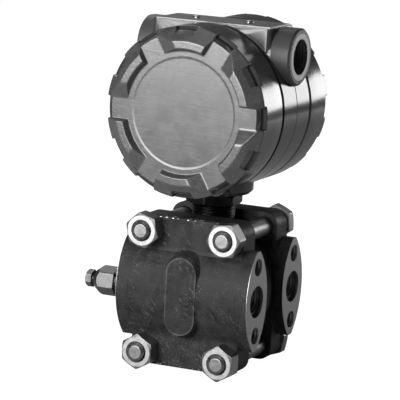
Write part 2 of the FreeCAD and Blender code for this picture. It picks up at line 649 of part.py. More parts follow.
def housing():
    """Barrel with threaded ends, hubs and bridge on top, boss below."""
    axis = "axis_height"
    waist = cylinder("waist", "barrel_radius", "2 * waist_half_width", ("0", "-waist_half_width", axis), "y")
    ends = cylinder("threads", "thread_radius", "2 * thread_end", ("0", "-thread_end", axis), "y")
    block = box("bridge_block", ("-bridge_half_length", "-bridge_half_width", axis),
                ("bridge_half_length", "bridge_half_width", "pad_top"))
    bridge = finish_edges("Part::Fillet", "bridge", block, "bridge_corner",
                          lambda edge: abs(edge.tangentAt(edge.FirstParameter).z) > 0.9)
    hub = cylinder("hub", "hub_radius", "hub_reach_left + hub_reach_right",
                   ("-hub_reach_left", "0", "hub_height"), "x")
    hubs = finish_edges("Part::Chamfer", "hubs", hub, "hub_edge",
                        lambda edge: edge.Curve.TypeId == "Part::GeomCircle")
    boss_bar = cylinder("boss_bar", "boss_radius", "axis_height - boss_bottom - boss_chamfer",
                        ("0", "0", "boss_bottom + boss_chamfer"))
    boss_bevel = cone("boss_bevel", "boss_radius - boss_chamfer", "boss_radius", "boss_chamfer",
                      ("0", "0", "boss_bottom"))
    boss_flats = box("boss_flats", ("-boss_radius", "-waist_half_width", "boss_bottom"),
                     ("boss_radius", "waist_half_width", "axis_height"))
    boss = common("boss", fuse("boss_round", boss_bar, boss_bevel), boss_flats)
    solid = fuse("housing_solid", waist, ends, bridge, hubs, boss)

    front_bore = cylinder("front_bore", "cavity_radius", "thread_end - wall_offset - wall_thickness + 1",
                          ("0", "-thread_end - 1", axis), "y")
    rear_bore = cylinder("rear_bore", "cavity_radius", "thread_end - wall_offset - wall_thickness + 1",
                         ("0", "wall_offset + wall_thickness", axis), "y")
    core = cylinder("core", "cavity_radius", "2 * thread_end", ("0", "-thread_end", axis), "y")
    upper = box("upper_part", ("-cavity_radius", "-wall_offset - wall_thickness - 1", "wall_step"),
                ("cavity_radius", "wall_offset", "axis_height + cavity_radius"))
    lower = box("lower_part", ("-cavity_radius", "-wall_offset", "axis_height - cavity_radius"),
                ("cavity_radius", "wall_offset + wall_thickness + 1", "wall_step - wall_thickness"))
    upper_core = common("upper_core", core, upper)
    lower_core = common("lower_core", core, lower)
    conduit_right = cylinder("conduit_right", "conduit_radius", "conduit_depth + 1",
                             ("hub_reach_right - conduit_depth", "0", "hub_height"), "x")
    conduit_left = cylinder("conduit_left", "conduit_radius", "conduit_depth + 1",
                            ("-hub_reach_left - 1", "0", "hub_height"), "x")
    passage = cylinder("cable_passage", "conduit_passage",
                       "hub_reach_left + hub_reach_right - 2 * conduit_depth + 2",
                       ("-hub_reach_left + conduit_depth - 1", "0", "hub_height"), "x")
    neck_bore = cylinder("neck_bore", "neck_radius + running_gap", "neck_top - boss_bottom + 1.4",
                         ("0", "0", "boss_bottom - 1"))
    lead_bore = cylinder("lead_bore", "lead_radius", "axis_height - cavity_radius - neck_top + 6",
                         ("0", "0", "neck_top - 1"))
    flat = box("pad_clearance", ("-barrel_radius", "-waist_half_width", "pad_top"),
               ("barrel_radius", "waist_half_width", "axis_height + barrel_radius + 1"))
    slot = box("boss_slot_tool", ("-boss_slot / 2", "boss_radius - 2", "boss_bottom - 1"),
               ("boss_slot / 2", "boss_radius + 6", "axis_height - barrel_radius + 4"))
    slot.Placement = Placement(Vector(), Rotation(Vector(0, 0, 1), 224.0))
    slot.setExpression("Placement.Base.x", link("-process_half_width + (boss_radius - 2) * 0.695 "
                                                "+ boss_slot / 2 * 0.719"))
    slot.setExpression("Placement.Base.y", link("-(boss_radius - 2) * 0.719 + boss_slot / 2 * 0.695"))
    tools = [front_bore, rear_bore, upper_core, lower_core, conduit_right, conduit_left, passage,
             neck_bore, lead_bore, flat, slot]
    for side_name, sign in (("left", "-"), ("right", "")):
        tools.append(cylinder("plate_tap_" + side_name, "plate_screw_radius", "5",
                              (f"{sign}plate_screw_offset", "0", "pad_top - 5")))
        tools.append(cylinder("adjuster_well_" + side_name, "adjuster_radius + running_gap",
                              "adjuster_length",
                              (f"{sign}adjuster_offset", "6", "pad_top - adjuster_length")))
    return subpart("housing_body", cut("housing_cut", solid, *tools))


def cover(node, along):
    """Screwed cap: disc, six spokes, arc lugs in its pockets, notched rim."""
    body = new_body(node + "_body", ("0", "0", "axis_height"), along)
    floor = "(cover_face - pocket_depth)"
    rim = "(cover_face - rim_drop)"
    joint_step = "(cover_joint + ring_width)"
    recess = "(thread_radius + 2 * seal_clearance + ring_width)"
    thread = "(thread_radius + thread_clearance)"
    profile = new_sketch(body, "CoverProfile", "XZ")
    outline(profile, [
        ("0", "cover_face"), ("disc_radius", "cover_face"), ("disc_radius", floor),
        ("pocket_radius", floor), ("rim_inner - rim_edge", rim), ("barrel_radius - rim_edge", rim),
        ("barrel_radius", f"{rim} - rim_draft"),
        ("barrel_radius", "cover_joint"), (recess, "cover_joint"),
        (recess, joint_step), (thread, joint_step),
        (thread, f"{floor} - cover_web"), ("0", f"{floor} - cover_web")])
    revolve(body, profile)

    spoke = new_sketch(body, "SpokeSketch", "XY", f"{floor} - 0.5")
    outline(spoke, [("disc_radius - 2", "-spoke_root / 2"), ("spoke_reach", "-spoke_width / 2"),
                    ("spoke_reach", "spoke_width / 2"), ("disc_radius - 2", "spoke_root / 2")])
    one_spoke = pad(body, spoke, "pocket_depth + 0.5", "Spoke")
    repeat_round(body, one_spoke, 6, "Spokes")

    lug = new_sketch(body, "LugSketch", "XY", f"{floor} - 0.5")
    lug.AttachmentOffset = Placement(Vector(), Rotation(Vector(0, 0, 1), size("lug_turn")))
    sector(lug, "lug_inner", "lug_outer", "lug_half_angle")
    one_lug = pad(body, lug, "pocket_depth + lug_rise + 0.5", "Lug")
    repeat_round(body, one_lug, 6, "Lugs")

    notch = new_sketch(body, "NotchSketch", "XY", "cover_face + 1")
    sector(notch, "notch_radius", "barrel_radius + 2", "notch_half_angle")
    one_notch = pocket(body, notch, "notch_depth + 1", "Notch")
    repeat_round(body, one_notch, 12, "Notches")
    return subpart(node, body)


housing()
cover("front_cover", "-y")
cover("rear_cover", "y")

for side_name, sign in (("front", "-"), ("rear", "")):
    subpart(side_name + "_cover_seal",
            tube(side_name + "_ring_seal", "thread_radius + seal_clearance + ring_width",
                 "thread_radius + seal_clearance", "ring_width",
                 ("0", f"{sign}(waist_half_width + seal_clearance)", "axis_height"),
                 "-y" if sign else "y"))


# ------------------------------------------------ name plate and screws

plate = box("plate_sheet", ("-plate_half_length", "-plate_half_width", "pad_top"),
            ("plate_half_length", "plate_half_width", "pad_top + plate_thickness"))
plate_holes = [cylinder("plate_hole_" + name, "plate_screw_radius + 0.2", "plate_thickness + 2",
                        (f"{sign}plate_screw_offset", "0", "pad_top - 1"))
               for name, sign in (("left", "-"), ("right", ""))]
subpart("name_plate", cut("plate_cut", plate, *plate_holes))

for name, sign in (("left", "-"), ("right", "")):
    x = f"{sign}plate_screw_offset"
    top = "pad_top + plate_thickness"
    shank = cylinder("plate_shank_" + name, "plate_screw_radius - 0.02", "plate_thickness + 4.6",
                     (x, "0", "pad_top - 4.6"))
    head = cone("plate_head_" + name, "plate_head_radius", "plate_head_radius - 0.7", "plate_head_height",
                (x, "0", top))
    slot = box("plate_slot_" + name,
               (f"{x} - plate_head_radius", "-0.35", f"{top} + plate_head_height - 0.6"),
               (f"{x} + plate_head_radius", "0.35", f"{top} + plate_head_height + 1"))
    subpart("name_plate_screw_" + name,
            cut("plate_screw_cut_" + name, fuse("plate_screw_" + name, shank, head), slot))

for name, sign in (("zero", "-"), ("span", "")):
    x = f"{sign}adjuster_offset"
    bottom = "pad_top - adjuster_length"
    stem = cylinder(name + "_stem", "adjuster_radius", "adjuster_length - 0.6", (x, "6", f"{bottom} + 0.2"))
    slot = box(name + "_slot", (f"{x} - adjuster_radius", "5.6", "pad_top - 1.6"),
               (f"{x} + adjuster_radius", "6.4", "pad_top"))
    subpart(name + "_screw", cut(name + "_screw_cut", stem, slot))


# -------------------------------------------------- inside the housing

wall_front = "(-wall_offset - wall_thickness)"
block_middle = "(axis_height - 6)"
block = box("block",
            ("-block_half_length", f"{wall_front} - block_depth", f"{block_middle} - block_height / 2"),
            ("block_half_length", wall_front, f"{block_middle} + block_height / 2"))
TERMINALS = ("-1.5", "-0.5", "0.5", "1.5")
block_holes = []
for number, step in enumerate(TERMINALS, start=1):
    x = f"{step} * terminal_pitch"
    face = f"({wall_front} - block_depth)"
    block_holes.append(cylinder(f"terminal_hole_{number}", "2.05", "8", (x, f"{face}", block_middle), "y"))
    head = cylinder(f"terminal_head_{number}", "terminal_radius", "terminal_head",
                    (x, face, block_middle), "-y")
    shank = cylinder(f"terminal_shank_{number}", "2.0", "7", (x, face, block_middle), "y")
    slot = box(f"terminal_slot_{number}",
               (f"{x} - terminal_radius", f"{face} - terminal_head - 1", f"{block_middle} - 0.5"),
               (f"{x} + terminal_radius", f"{face} - terminal_head + 1", f"{block_middle} + 0.5"))
    subpart(f"terminal_screw_{number}",
            cut(f"terminal_screw_cut_{number}", fuse(f"terminal_{number}", head, shank), slot))
subpart("terminal_block", cut("block_cut", block, *block_holes))

wall_rear = "(wall_offset + wall_thickness)"
# The wall steps forward under the boards, so the lower post is longer.
POSTS = ((30.0, "right", wall_rear), (150.0, "left", wall_rear), (270.0, "lower", "-wall_offset"))
board_starts = {"amplifier_board": f"({wall_rear} + board_space)",
                "calibration_board": f"({wall_rear} + 2 * board_space + board_thickness)"}
for node, start in board_starts.items():
    disc = cylinder(node + "_disc", "board_radius", "board_thickness", ("0", start, "axis_height"), "y")
    holes = []
    for angle, name, seat in POSTS:
        x = f"post_circle * {math.cos(math.radians(angle)):.4f}"
        z = f"axis_height + post_circle * {math.sin(math.radians(angle)):.4f}"
        holes.append(cylinder(f"{node}_hole_{name}", "post_stud + 0.1", "board_thickness + 2",
                              (x, f"{start} - 1", z), "y"))
    subpart(node, cut(node + "_cut", disc, *holes))
for angle, name, seat in POSTS:
    x = f"post_circle * {math.cos(math.radians(angle)):.4f}"
    z = f"axis_height + post_circle * {math.sin(math.radians(angle)):.4f}"
    stud = cylinder(f"post_stud_{name}", "post_stud",
                    f"{wall_rear} + 2 * board_space + 2 * board_thickness - ({seat})", (x, seat, z), "y")
    near = hexagon_bar(f"post_near_{name}", "post_across", f"{wall_rear} + board_space - ({seat})",
                       (x, seat, z), "y")
    between = hexagon_bar(f"post_between_{name}", "post_across", "board_space",
                          (x, f"{wall_rear} + board_space + board_thickness", z), "y")
    subpart(f"board_post_{name}", fuse(f"post_{name}", near, between, stud))


# -------------------------------------------------------- check and write

doc.recompute()
for item in doc.Objects:
    if "Invalid" in item.State or "Error" in item.State:
        raise RuntimeError(f"{item.Name} did not build")
os.makedirs("parts", exist_ok=True)
for item in subparts:
    if item.Shape.isNull() or not item.Shape.isValid():
        raise RuntimeError(f"{item.Label} has no valid shape")
    item.Shape.exportStep(f"parts/{item.Label}.step")
    print(f"{item.Label}: {len(item.Shape.Solids)} solid, {item.Shape.Volume / 1000:.2f} cm3")
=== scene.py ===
# %% [markdown]
# # A differential pressure transmitter
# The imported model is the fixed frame: every piece below is placed from its
# nodes, in metres.  +X leaves the process face, +Y runs from the front cover
# to the rear cover, and +Z is up along the neck.

import json
import math
from types import SimpleNamespace

import bmesh
import bpy
import numpy as np
from mathutils import Matrix, Vector


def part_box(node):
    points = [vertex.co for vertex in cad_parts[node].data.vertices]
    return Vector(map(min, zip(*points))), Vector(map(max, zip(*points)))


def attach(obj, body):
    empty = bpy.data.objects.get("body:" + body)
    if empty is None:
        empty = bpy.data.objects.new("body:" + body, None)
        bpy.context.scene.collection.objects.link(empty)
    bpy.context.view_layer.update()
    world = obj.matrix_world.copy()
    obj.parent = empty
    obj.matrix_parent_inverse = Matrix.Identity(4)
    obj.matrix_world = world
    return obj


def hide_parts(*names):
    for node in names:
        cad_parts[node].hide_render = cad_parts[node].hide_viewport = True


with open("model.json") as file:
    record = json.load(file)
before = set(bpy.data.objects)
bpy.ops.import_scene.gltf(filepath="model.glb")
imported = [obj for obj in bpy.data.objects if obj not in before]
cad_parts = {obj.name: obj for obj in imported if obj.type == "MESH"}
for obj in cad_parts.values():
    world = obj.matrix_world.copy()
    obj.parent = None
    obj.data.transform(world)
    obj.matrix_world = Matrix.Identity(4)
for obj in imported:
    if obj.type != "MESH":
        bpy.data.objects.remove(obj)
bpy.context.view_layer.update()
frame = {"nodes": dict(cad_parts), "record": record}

# %% [markdown]
# Landmarks come from the boxes of the nodes, so nothing is measured twice:
# the lock nut gives the neck's axis and the front cover the housing's.

# %% Landmarks
MM = 0.001


def centre(node):
    low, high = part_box(node)
    return (low + high) / 2


def span(node, axis):
    """Lowest and highest value of a node's box along an axis, in millimetres."""
    low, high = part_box(node)
    return low[axis] / MM, high[axis] / MM


X, Y, Z = 0, 1, 2
NECK_X = centre("lock_nut").x / MM
HOUSING_Z = centre("front_cover").z / MM
FLOOR = min(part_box(node)[0].z for node in frame["nodes"])
BODY_OF = {node: body for body, nodes in frame["record"]["behaviour"]["bodies"].items()
           for node in nodes}
SLOT_OF = {row["node"]: row["material_slot"] for row in frame["record"]["subparts"]}
print("neck axis x", round(NECK_X, 2), "housing axis z", round(HOUSING_Z, 2))

# %% [markdown]
# The camera stands far off with a long lens, a little to the right of the
# front cover and a little above it, as for a product catalogue.  A long lens
# keeps upright edges nearly parallel, and a small roll leans the view.  The
# camera could be aimed with a constraint; here its three axes are written out,
# so its matrix is plain numbers.

# %% Camera
CAMERA_AZIMUTH = math.radians(24.51)
CAMERA_ELEVATION = math.radians(10.25)
CAMERA_ROLL = math.radians(2.81)
CAMERA_DISTANCE = 1.48405
CAMERA_AIM = Vector((-0.05223, 0.0, 0.05114))
CAMERA_LENS, SENSOR_WIDTH = 220.87, 36.0


def camera_axes(azimuth, elevation, roll):
    """Right, up and backward directions of a camera, turned by its roll."""
    back = Vector((math.sin(azimuth) * math.cos(elevation),
                   -math.cos(azimuth) * math.cos(elevation), math.sin(elevation)))
    right = Vector((math.cos(azimuth), math.sin(azimuth), 0.0))
    up = back.cross(right)
    leaning = math.cos(roll) * right + math.sin(roll) * up
    return leaning, back.cross(leaning), back


scene = bpy.context.scene
scene.view_settings.view_transform = "Standard"
camera_data = bpy.data.cameras.new("catalogue_camera")
camera_data.lens = CAMERA_LENS
camera_data.sensor_width = SENSOR_WIDTH
camera = bpy.data.objects.new("catalogue_camera", camera_data)
scene.collection.objects.link(camera)
axes = camera_axes(CAMERA_AZIMUTH, CAMERA_ELEVATION, CAMERA_ROLL)
camera.matrix_world = (Matrix.Translation(CAMERA_AIM + CAMERA_DISTANCE * axes[2])
                       @ Matrix(axes).transposed().to_4x4())
scene.camera = camera
print("camera", CAMERA_DISTANCE, "m away with a", CAMERA_LENS, "mm lens")

# %% [markdown]
# Dark gloss paint shows what it reflects, so the studio is planned as
# reflections.  A soft light low in front on the left is what the flat cover
# faces mirror.  A second one, behind on the right, draws the bright band along
# the barrels.  A small one high behind touches the plate, a weak one overhead
# fills the tops, and one behind on the left keeps the back readable.

# %% Studio lights
def soft_light(name, at, towards, width, height, radiance):
    """A rectangular light facing a point; its power is radiance x area x pi."""
    data = bpy.data.lights.new(name, "AREA")
    data.shape = "RECTANGLE"
    data.size, data.size_y = width, height
    data.energy = radiance * width * height * math.pi
    light = bpy.data.objects.new(name, data)
    scene.collection.objects.link(light)
    light.location = at
    light.rotation_euler = (Vector(towards) - Vector(at)).to_track_quat("-Z", "Y").to_euler()
    light.visible_camera = False


MIDDLE = Vector((NECK_X * MM, 0.0, HOUSING_Z * MM))
LIGHTS = (("front_left_light", (-0.26, -0.80, 0.265), (-0.26, 0.0, 0.265), 0.60, 0.44, 13.5),
          ("rear_right_light", (0.42, 1.02, 0.185), (-0.043, 0.0, 0.10), 0.60, 0.27, 6.0),
          ("rear_high_light", (0.04, 1.05, 0.66), MIDDLE, 0.36, 0.20, 1.2),
          ("top_light", (-0.1, -0.5, 1.5), (-0.04, 0.0, 0.05), 0.9, 0.7, 0.8),
          ("rear_left_light", (-0.75, 0.85, 0.95), MIDDLE, 0.7, 0.5, 3.0))
for row in LIGHTS:
    soft_light(*row)
print(len(LIGHTS), "soft lights")

# %% [markdown]
# A shader is a graph of nodes.  Building one by hand takes a line for every
# node and every wire, so a few helpers do both at once: whatever is given as
# an input is either a number to set or a socket to wire up.

# %% Node helpers
def node(tree, kind, inputs=None, **settings):
    """Adds a node: settings are its own choices, inputs are numbers or sockets to link."""
    made = tree.nodes.new("ShaderNode" + kind)
    for name, value in settings.items():
        setattr(made, name, value)
    for key, value in (inputs or {}).items():
        if isinstance(value, bpy.types.NodeSocket):
            tree.links.new(value, made.inputs[key])
        else:
            made.inputs[key].default_value = value
    return made


def calc(tree, operation, first, *others):
    """One operation carried over its values in turn."""
    for other in others or (0.0,):
        first = node(tree, "Math", {0: first, 1: other}, operation=operation).outputs[0]
    return first


def times(tree, *values):
    return calc(tree, "MULTIPLY", *values)


def ramp(tree, value, low, high, to_low=0.0, to_high=1.0):
    """Maps low..high to new limits, clamped."""
    return node(tree, "MapRange", {"Value": value, "From Min": low, "From Max": high,
                                   "To Min": to_low, "To Max": to_high}).outputs["Result"]


def between(tree, share, first, second):
    """A value between two: first x (1 - share) + second x share."""
    return node(tree, "Mix", {0: share, 2: first, 3: second}).outputs[0]


def paint(tone):
    """A colour for a socket: from a socket, a grey number or (red, green, blue)."""
    if isinstance(tone, float):
        tone = (tone, tone, tone)
    return (*tone, 1.0) if isinstance(tone, tuple) else tone


def blend(tree, share, first, second):
    """A colour between two."""
    return node(tree, "Mix", {0: share, 6: paint(first), 7: paint(second)}, data_type="RGBA").outputs[2]


def new_group(name, inputs, outputs):
    """A node group with named sockets; an input without a number is a vector."""
    tree = bpy.data.node_groups.new(name, "ShaderNodeTree")
    for label, number in inputs.items():
        kind = "NodeSocketVector" if number is None else "NodeSocketFloat"
        socket = tree.interface.new_socket(label, in_out="INPUT", socket_type=kind)
        if number is not None:
            socket.default_value = number
    for label in outputs:
        tree.interface.new_socket(label, in_out="OUTPUT", socket_type="NodeSocketFloat")
    return tree, tree.nodes.new("NodeGroupInput").outputs, tree.nodes.new("NodeGroupOutput").inputs


def place(tree, group, inputs):
    """Places a group in a material and returns its outputs."""
    return node(tree, "Group", inputs, node_tree=group).outputs


print("node helpers ready")

# %% [markdown]
# The backdrop is white for the camera alone.  Reflections see a dim room, and
# the pale floor is lifted towards white for the camera, so it meets the
# backdrop with no line.  A bent paper sweep would do the same with more light
# on it; asking the ray whether it comes from the camera is simpler.

# %% Room and floor
def cleared(owner):
    """The emptied node tree of a world or a material."""
    owner.use_nodes = True
    owner.node_tree.nodes.clear()
    return owner.node_tree


def for_camera(tree, other_rays, camera_rays):
    """One shader for the camera's own rays and another for all the rest."""
    share = node(tree, "LightPath").outputs["Is Camera Ray"]
    return node(tree, "MixShader", {0: share, 1: other_rays, 2: camera_rays}).outputs[0]


ROOM_GLOW, BACKDROP_GLOW = 0.10, 1.0
world = bpy.data.worlds.new("studio_room")
scene.world = world
tree = cleared(world)
room, backdrop = (node(tree, "Background", {"Color": (1, 1, 1, 1), "Strength": glow}).outputs[0]
                  for glow in (ROOM_GLOW, BACKDROP_GLOW))
node(tree, "OutputWorld", {"Surface": for_camera(tree, room, backdrop)})

FLOOR_REACH = 4.0
floor_mesh = bpy.data.meshes.new("floor")
floor_mesh.from_pydata([(x * FLOOR_REACH, y * FLOOR_REACH, FLOOR)
                        for x, y in ((-1, -1), (1, -1), (1, 1), (-1, 1))], [], [(0, 1, 2, 3)])
floor = bpy.data.objects.new("floor", floor_mesh)
scene.collection.objects.link(floor)

PAPER_TONE, SEEN_TONE, SEEN_GLOW = 0.60, 0.30, 0.98
paper = bpy.data.materials.new("pale_paper")
tree = cleared(paper)
matt, seen = (node(tree, "BsdfDiffuse", {"Color": (tone, tone, tone, 1)}).outputs[0]
              for tone in (PAPER_TONE, SEEN_TONE))
glow = node(tree, "Emission", {"Strength": SEEN_GLOW}).outputs[0]
bright = node(tree, "AddShader", {0: seen, 1: glow}).outputs[0]
node(tree, "OutputMaterial", {"Surface": for_camera(tree, matt, bright)})
floor_mesh.materials.append(paper)
print("floor at", round(FLOOR, 4), "m")

# %% [markdown]
# ## Finishes
# A real finish is never one flat colour.  Paint has orange peel and rub
# marks, a casting has grain and stains, a turned face has the marks of its
# tool.  Each of these effects is a node group, built once, that puts out
# masks and heights; every material places the groups with its own values and
# keeps its shader to itself.  All patterns are laid in Object coordinates, so
# they stay on the metal when a piece moves.
#
# The grain group mixes a fine noise, which becomes bump, with a slow one,
# which becomes patches in colour and gloss.  Size is in millimetres, so it
# reads like a real grain.

# %% Grain and patches
def noise(tree, where, scale, detail, **inputs):
    """A noise texture; its scale is how many of its grains go in a metre."""
    return node(tree, "TexNoise", {"Vector": where, "Scale": scale, "Detail": detail, **inputs}).outputs["Fac"]


fine_grain, given, result = new_group("fine_grain", {"Vector": None, "Size": 0.5, "Patch Size": 12.0},
                                      ("Height", "Patches"))
for size, output, detail in (("Size", "Height", 3.0), ("Patch Size", "Patches", 5.0)):
    scale = calc(fine_grain, "DIVIDE", 1 / MM, given[size])
    cloud = noise(fine_grain, given["Vector"], scale, detail, Roughness=0.62)
    fine_grain.links.new(ramp(fine_grain, cloud, 0.28, 0.72), result[output])
print("group", fine_grain.name)

# %% [markdown]
# Rub marks are short scratches at all angles that gather in patches.  They
# could be painted by hand, but a pattern covers every side.  Two noises
# stretched in different directions are cut to their peaks, and a slow noise
# says where things have rubbed.

# %% Rub marks
rub_marks, given, result = new_group("rub_marks", {"Vector": None, "Length": 6.0, "Amount": 0.5}, ("Mask",))
scratches = []
for turn in ((0.3, 0.9, 0.2), (1.2, -0.5, 1.0)):
    stretched = node(rub_marks, "Mapping", {"Vector": given["Vector"], "Rotation": turn,
                                            "Scale": (1.0, 1 / 9, 1 / 9)}, vector_type="TEXTURE").outputs[0]
    peaks = noise(rub_marks, stretched, calc(rub_marks, "DIVIDE", 1 / MM, given["Length"]), 2.0)
    scratches.append(ramp(rub_marks, peaks, 0.60, 0.70))
handled = ramp(rub_marks, noise(rub_marks, given["Vector"], 70.0, 3.0), 0.44, 0.66)
strong = calc(rub_marks, "MAXIMUM", *scratches)
rub_marks.links.new(times(rub_marks, strong, handled, given["Amount"]), result["Mask"])
print("group", rub_marks.name)

# %% [markdown]
# Tool marks are lines at a steady feed that wander a little.  They follow one
# number, the distance from an axis or along it, so the same group serves a
# faced ring and a turned barrel.  The second group gives the distance from an
# axis: the difference from its centre, with the axis's own direction dropped.

# %% Tool marks
tool_marks, given, result = new_group("tool_marks", {"Distance": 0.0, "Feed": 0.3}, ("Height",))
turns = calc(tool_marks, "DIVIDE", times(tool_marks, given["Distance"], 1 / MM), given["Feed"])
wander = node(tool_marks, "TexNoise", {"W": turns, "Scale": 1.0, "Detail": 2.0}, noise_dimensions="1D")
tool_marks.links.new(wander.outputs["Fac"], result["Height"])

from_axis, given, result = new_group("from_axis", {"Vector": None, "Centre": None, "Keep": None}, ("Radius",))
away = node(from_axis, "VectorMath", {0: given["Vector"], 1: given["Centre"]}, operation="SUBTRACT")
away = node(from_axis, "VectorMath", {0: away.outputs[0], 1: given["Keep"]}, operation="MULTIPLY")
away = node(from_axis, "VectorMath", {0: away.outputs[0]}, operation="LENGTH")
from_axis.links.new(away.outputs["Value"], result["Radius"])
print("groups", tool_marks.name, from_axis.name)

# %% [markdown]
# Every finish is then the same recipe with its own values: two tones mixed
# by the patches, a third where it has rubbed, a roughness that varies with
# the patches, and the grain as bump.  The depth of the bump is in
# millimetres.  A special finish adds to the recipe before it is settled.

# %% The finish recipe
MATERIALS = {}


def finish(slot, dark, light, metallic, rough, rough_spread=0.1, grain=0.5, depth=0.01,
           patch=12.0, rubbed=None, rub=0.0, rub_length=6.0):
    """Base Color = mix(dark, light, patches), then the rubbed tone by the rub marks.
    Roughness = rough + spread x (patches - 1/2).  Returns what special finishes add to."""
    material = bpy.data.materials.new(slot)
    material.use_nodes = True
    MATERIALS[slot] = material
    tree = material.node_tree
    shader = tree.nodes["Principled BSDF"]
    shader.inputs["Metallic"].default_value = metallic
    where = node(tree, "TexCoord").outputs["Object"]
    grains = place(tree, fine_grain, {"Vector": where, "Size": grain, "Patch Size": patch})
    marks = place(tree, rub_marks, {"Vector": where, "Length": rub_length, "Amount": rub})["Mask"]
    colour = blend(tree, grains["Patches"], dark, light)
    half = rough_spread / 2
    return SimpleNamespace(
        tree=tree, shader=shader, where=where, depth=depth, metal=None,
        colour=blend(tree, marks, colour, rubbed or light),
        gloss=ramp(tree, grains["Patches"], 0.0, 1.0, rough - half, rough + half),
        height=calc(tree, "SUBTRACT", grains["Height"], times(tree, marks, 0.8)),
        patches=grains["Patches"], marks=marks)


def settle(look):
    """Joins the colour, gloss, metal and bump of a finish to its shader."""
    tree, inputs = look.tree, look.shader.inputs
    bump = node(tree, "Bump", {"Height": look.height, "Distance": look.depth * MM})
    for value, socket in ((look.colour, "Base Color"), (look.gloss, "Roughness"),
                          (look.metal, "Metallic"), (bump.outputs["Normal"], "Normal")):
        if value:
            tree.links.new(value, inputs[socket])


def machine(look, mask, tone, gloss, distance=None, feed=0.3, share=1.0):
    """Where the mask is 1 the surface is bare machined steel with tool marks."""
    tree = look.tree
    look.colour = blend(tree, mask, look.colour, tone)
    look.gloss = between(tree, mask, look.gloss, gloss)
    look.metal = mask if look.metal is None else calc(tree, "MAXIMUM", look.metal, mask)
    if distance is not None:
        lines = place(tree, tool_marks, {"Distance": distance, "Feed": feed})["Height"]
        look.height = between(tree, times(tree, mask, share), look.height, lines)


def coordinates(look):
    """X, Y and Z of the surface in metres, in the object's frame."""
    return tuple(node(look.tree, "SeparateXYZ", {0: look.where}).outputs)


def distance_from(look, at, keep, vector=None):
    """Metres from an axis through a point given in millimetres; keep is 0 along the axis."""
    return place(look.tree, from_axis, {"Vector": vector or look.where, "Keep": keep,
                                        "Centre": tuple(value * MM for value in at)})["Radius"]


def within(tree, value, low, high):
    """1 below low and 0 above high, in millimetres."""
    return ramp(tree, value, low * MM, high * MM, 1.0, 0.0)


def beyond(tree, value, low, high):
    """0 below low and 1 above high, in millimetres."""
    return ramp(tree, value, low * MM, high * MM)


def apart(tree, value, middle):
    """Distance of a coordinate from a middle value in millimetres, either way."""
    return calc(tree, "ABSOLUTE", calc(tree, "SUBTRACT", value, middle * MM))


print("recipe ready")

# %% [markdown]
# ## Paint, castings and steels
# The covers are enamelled die castings.  Their faces are satin from handling,
# with fine streaks across; the turned barrels are a smoother gloss, and painted
# shade makes the twelve notches near black.  One material does all three,
# because masks made from the distance to the housing's axis know which is which.

# %% Cover paint
look = finish("cover_paint", 0.038, 0.062, 0.0, 0.25, 0.10, grain=0.6, depth=0.016,
              patch=9.0, rubbed=0.12, rub=0.35, rub_length=7.0)
tree = look.tree
PAINT_IOR = 1.62
look.shader.inputs["IOR"].default_value = PAINT_IOR
streaks = node(tree, "Mapping", {"Vector": look.where, "Rotation": (0.0, 0.05, 0.0),
                                 "Scale": (14.0, 1.0, 1.0)}, vector_type="TEXTURE").outputs[0]
streaks = ramp(tree, noise(tree, streaks, 900.0, 3.0), 0.35, 0.65)
look.gloss = calc(tree, "ADD", look.gloss, ramp(tree, streaks, 0.0, 1.0, -0.03, 0.05))
look.height = calc(tree, "ADD", look.height, times(tree, streaks, 0.5))

HOUSING_AXIS = (NECK_X, 0, HOUSING_Z)
BARREL_GLOSS, NOTCH_GLOSS = 0.17, 0.55
radius = distance_from(look, HOUSING_AXIS, (1, 0, 1))
on_barrel = beyond(tree, radius, 49.9, 50.7)
look.gloss = between(tree, on_barrel, look.gloss, BARREL_GLOSS)
look.height = times(tree, look.height, ramp(tree, on_barrel, 0.0, 1.0, 1.0, 0.22))
behind_face = within(tree, apart(tree, coordinates(look)[Y], 0.0), 47.2, 47.7)
in_notch = times(tree, within(tree, radius, 50.0, 50.7), beyond(tree, radius, 47.0, 47.5),
                 behind_face)
# Painted shade: the notches are coloured near black, as if light did not reach into them.
look.colour = blend(tree, in_notch, look.colour, 0.008)
look.gloss = between(tree, in_notch, look.gloss, NOTCH_GLOSS)
look.height = times(tree, look.height, ramp(tree, in_notch, 0.0, 1.0, 1.0, 0.2))
settle(look)
print("finish", list(MATERIALS)[-1])

# %% [markdown]
# The housing has the same enamel, glossier because it was turned and is
# handled less.  A parting-line groove runs round its middle plane, coloured
# near black as painted shade, the ring faces of the conduit hubs are faced
# bright, and the hubs keep the dull skin of the casting.

# %% Housing paint
look = finish("housing_paint", 0.034, 0.048, 0.0, 0.15, 0.05, grain=0.8, depth=0.010,
              patch=20.0, rubbed=0.10, rub=0.15, rub_length=7.0)
tree = look.tree
x, y = coordinates(look)[:2]
SEAM_DEPTH, SEAM_GLOSS = 20.0, 0.9
seam = within(tree, apart(tree, y, 0.0), 0.2, 0.5)
look.height = calc(tree, "SUBTRACT", look.height, times(tree, seam, SEAM_DEPTH))
# Painted shade: the groove of the parting line is coloured near black.
look.colour = blend(tree, seam, look.colour, 0.004)
look.gloss = between(tree, seam, look.gloss, SEAM_GLOSS)

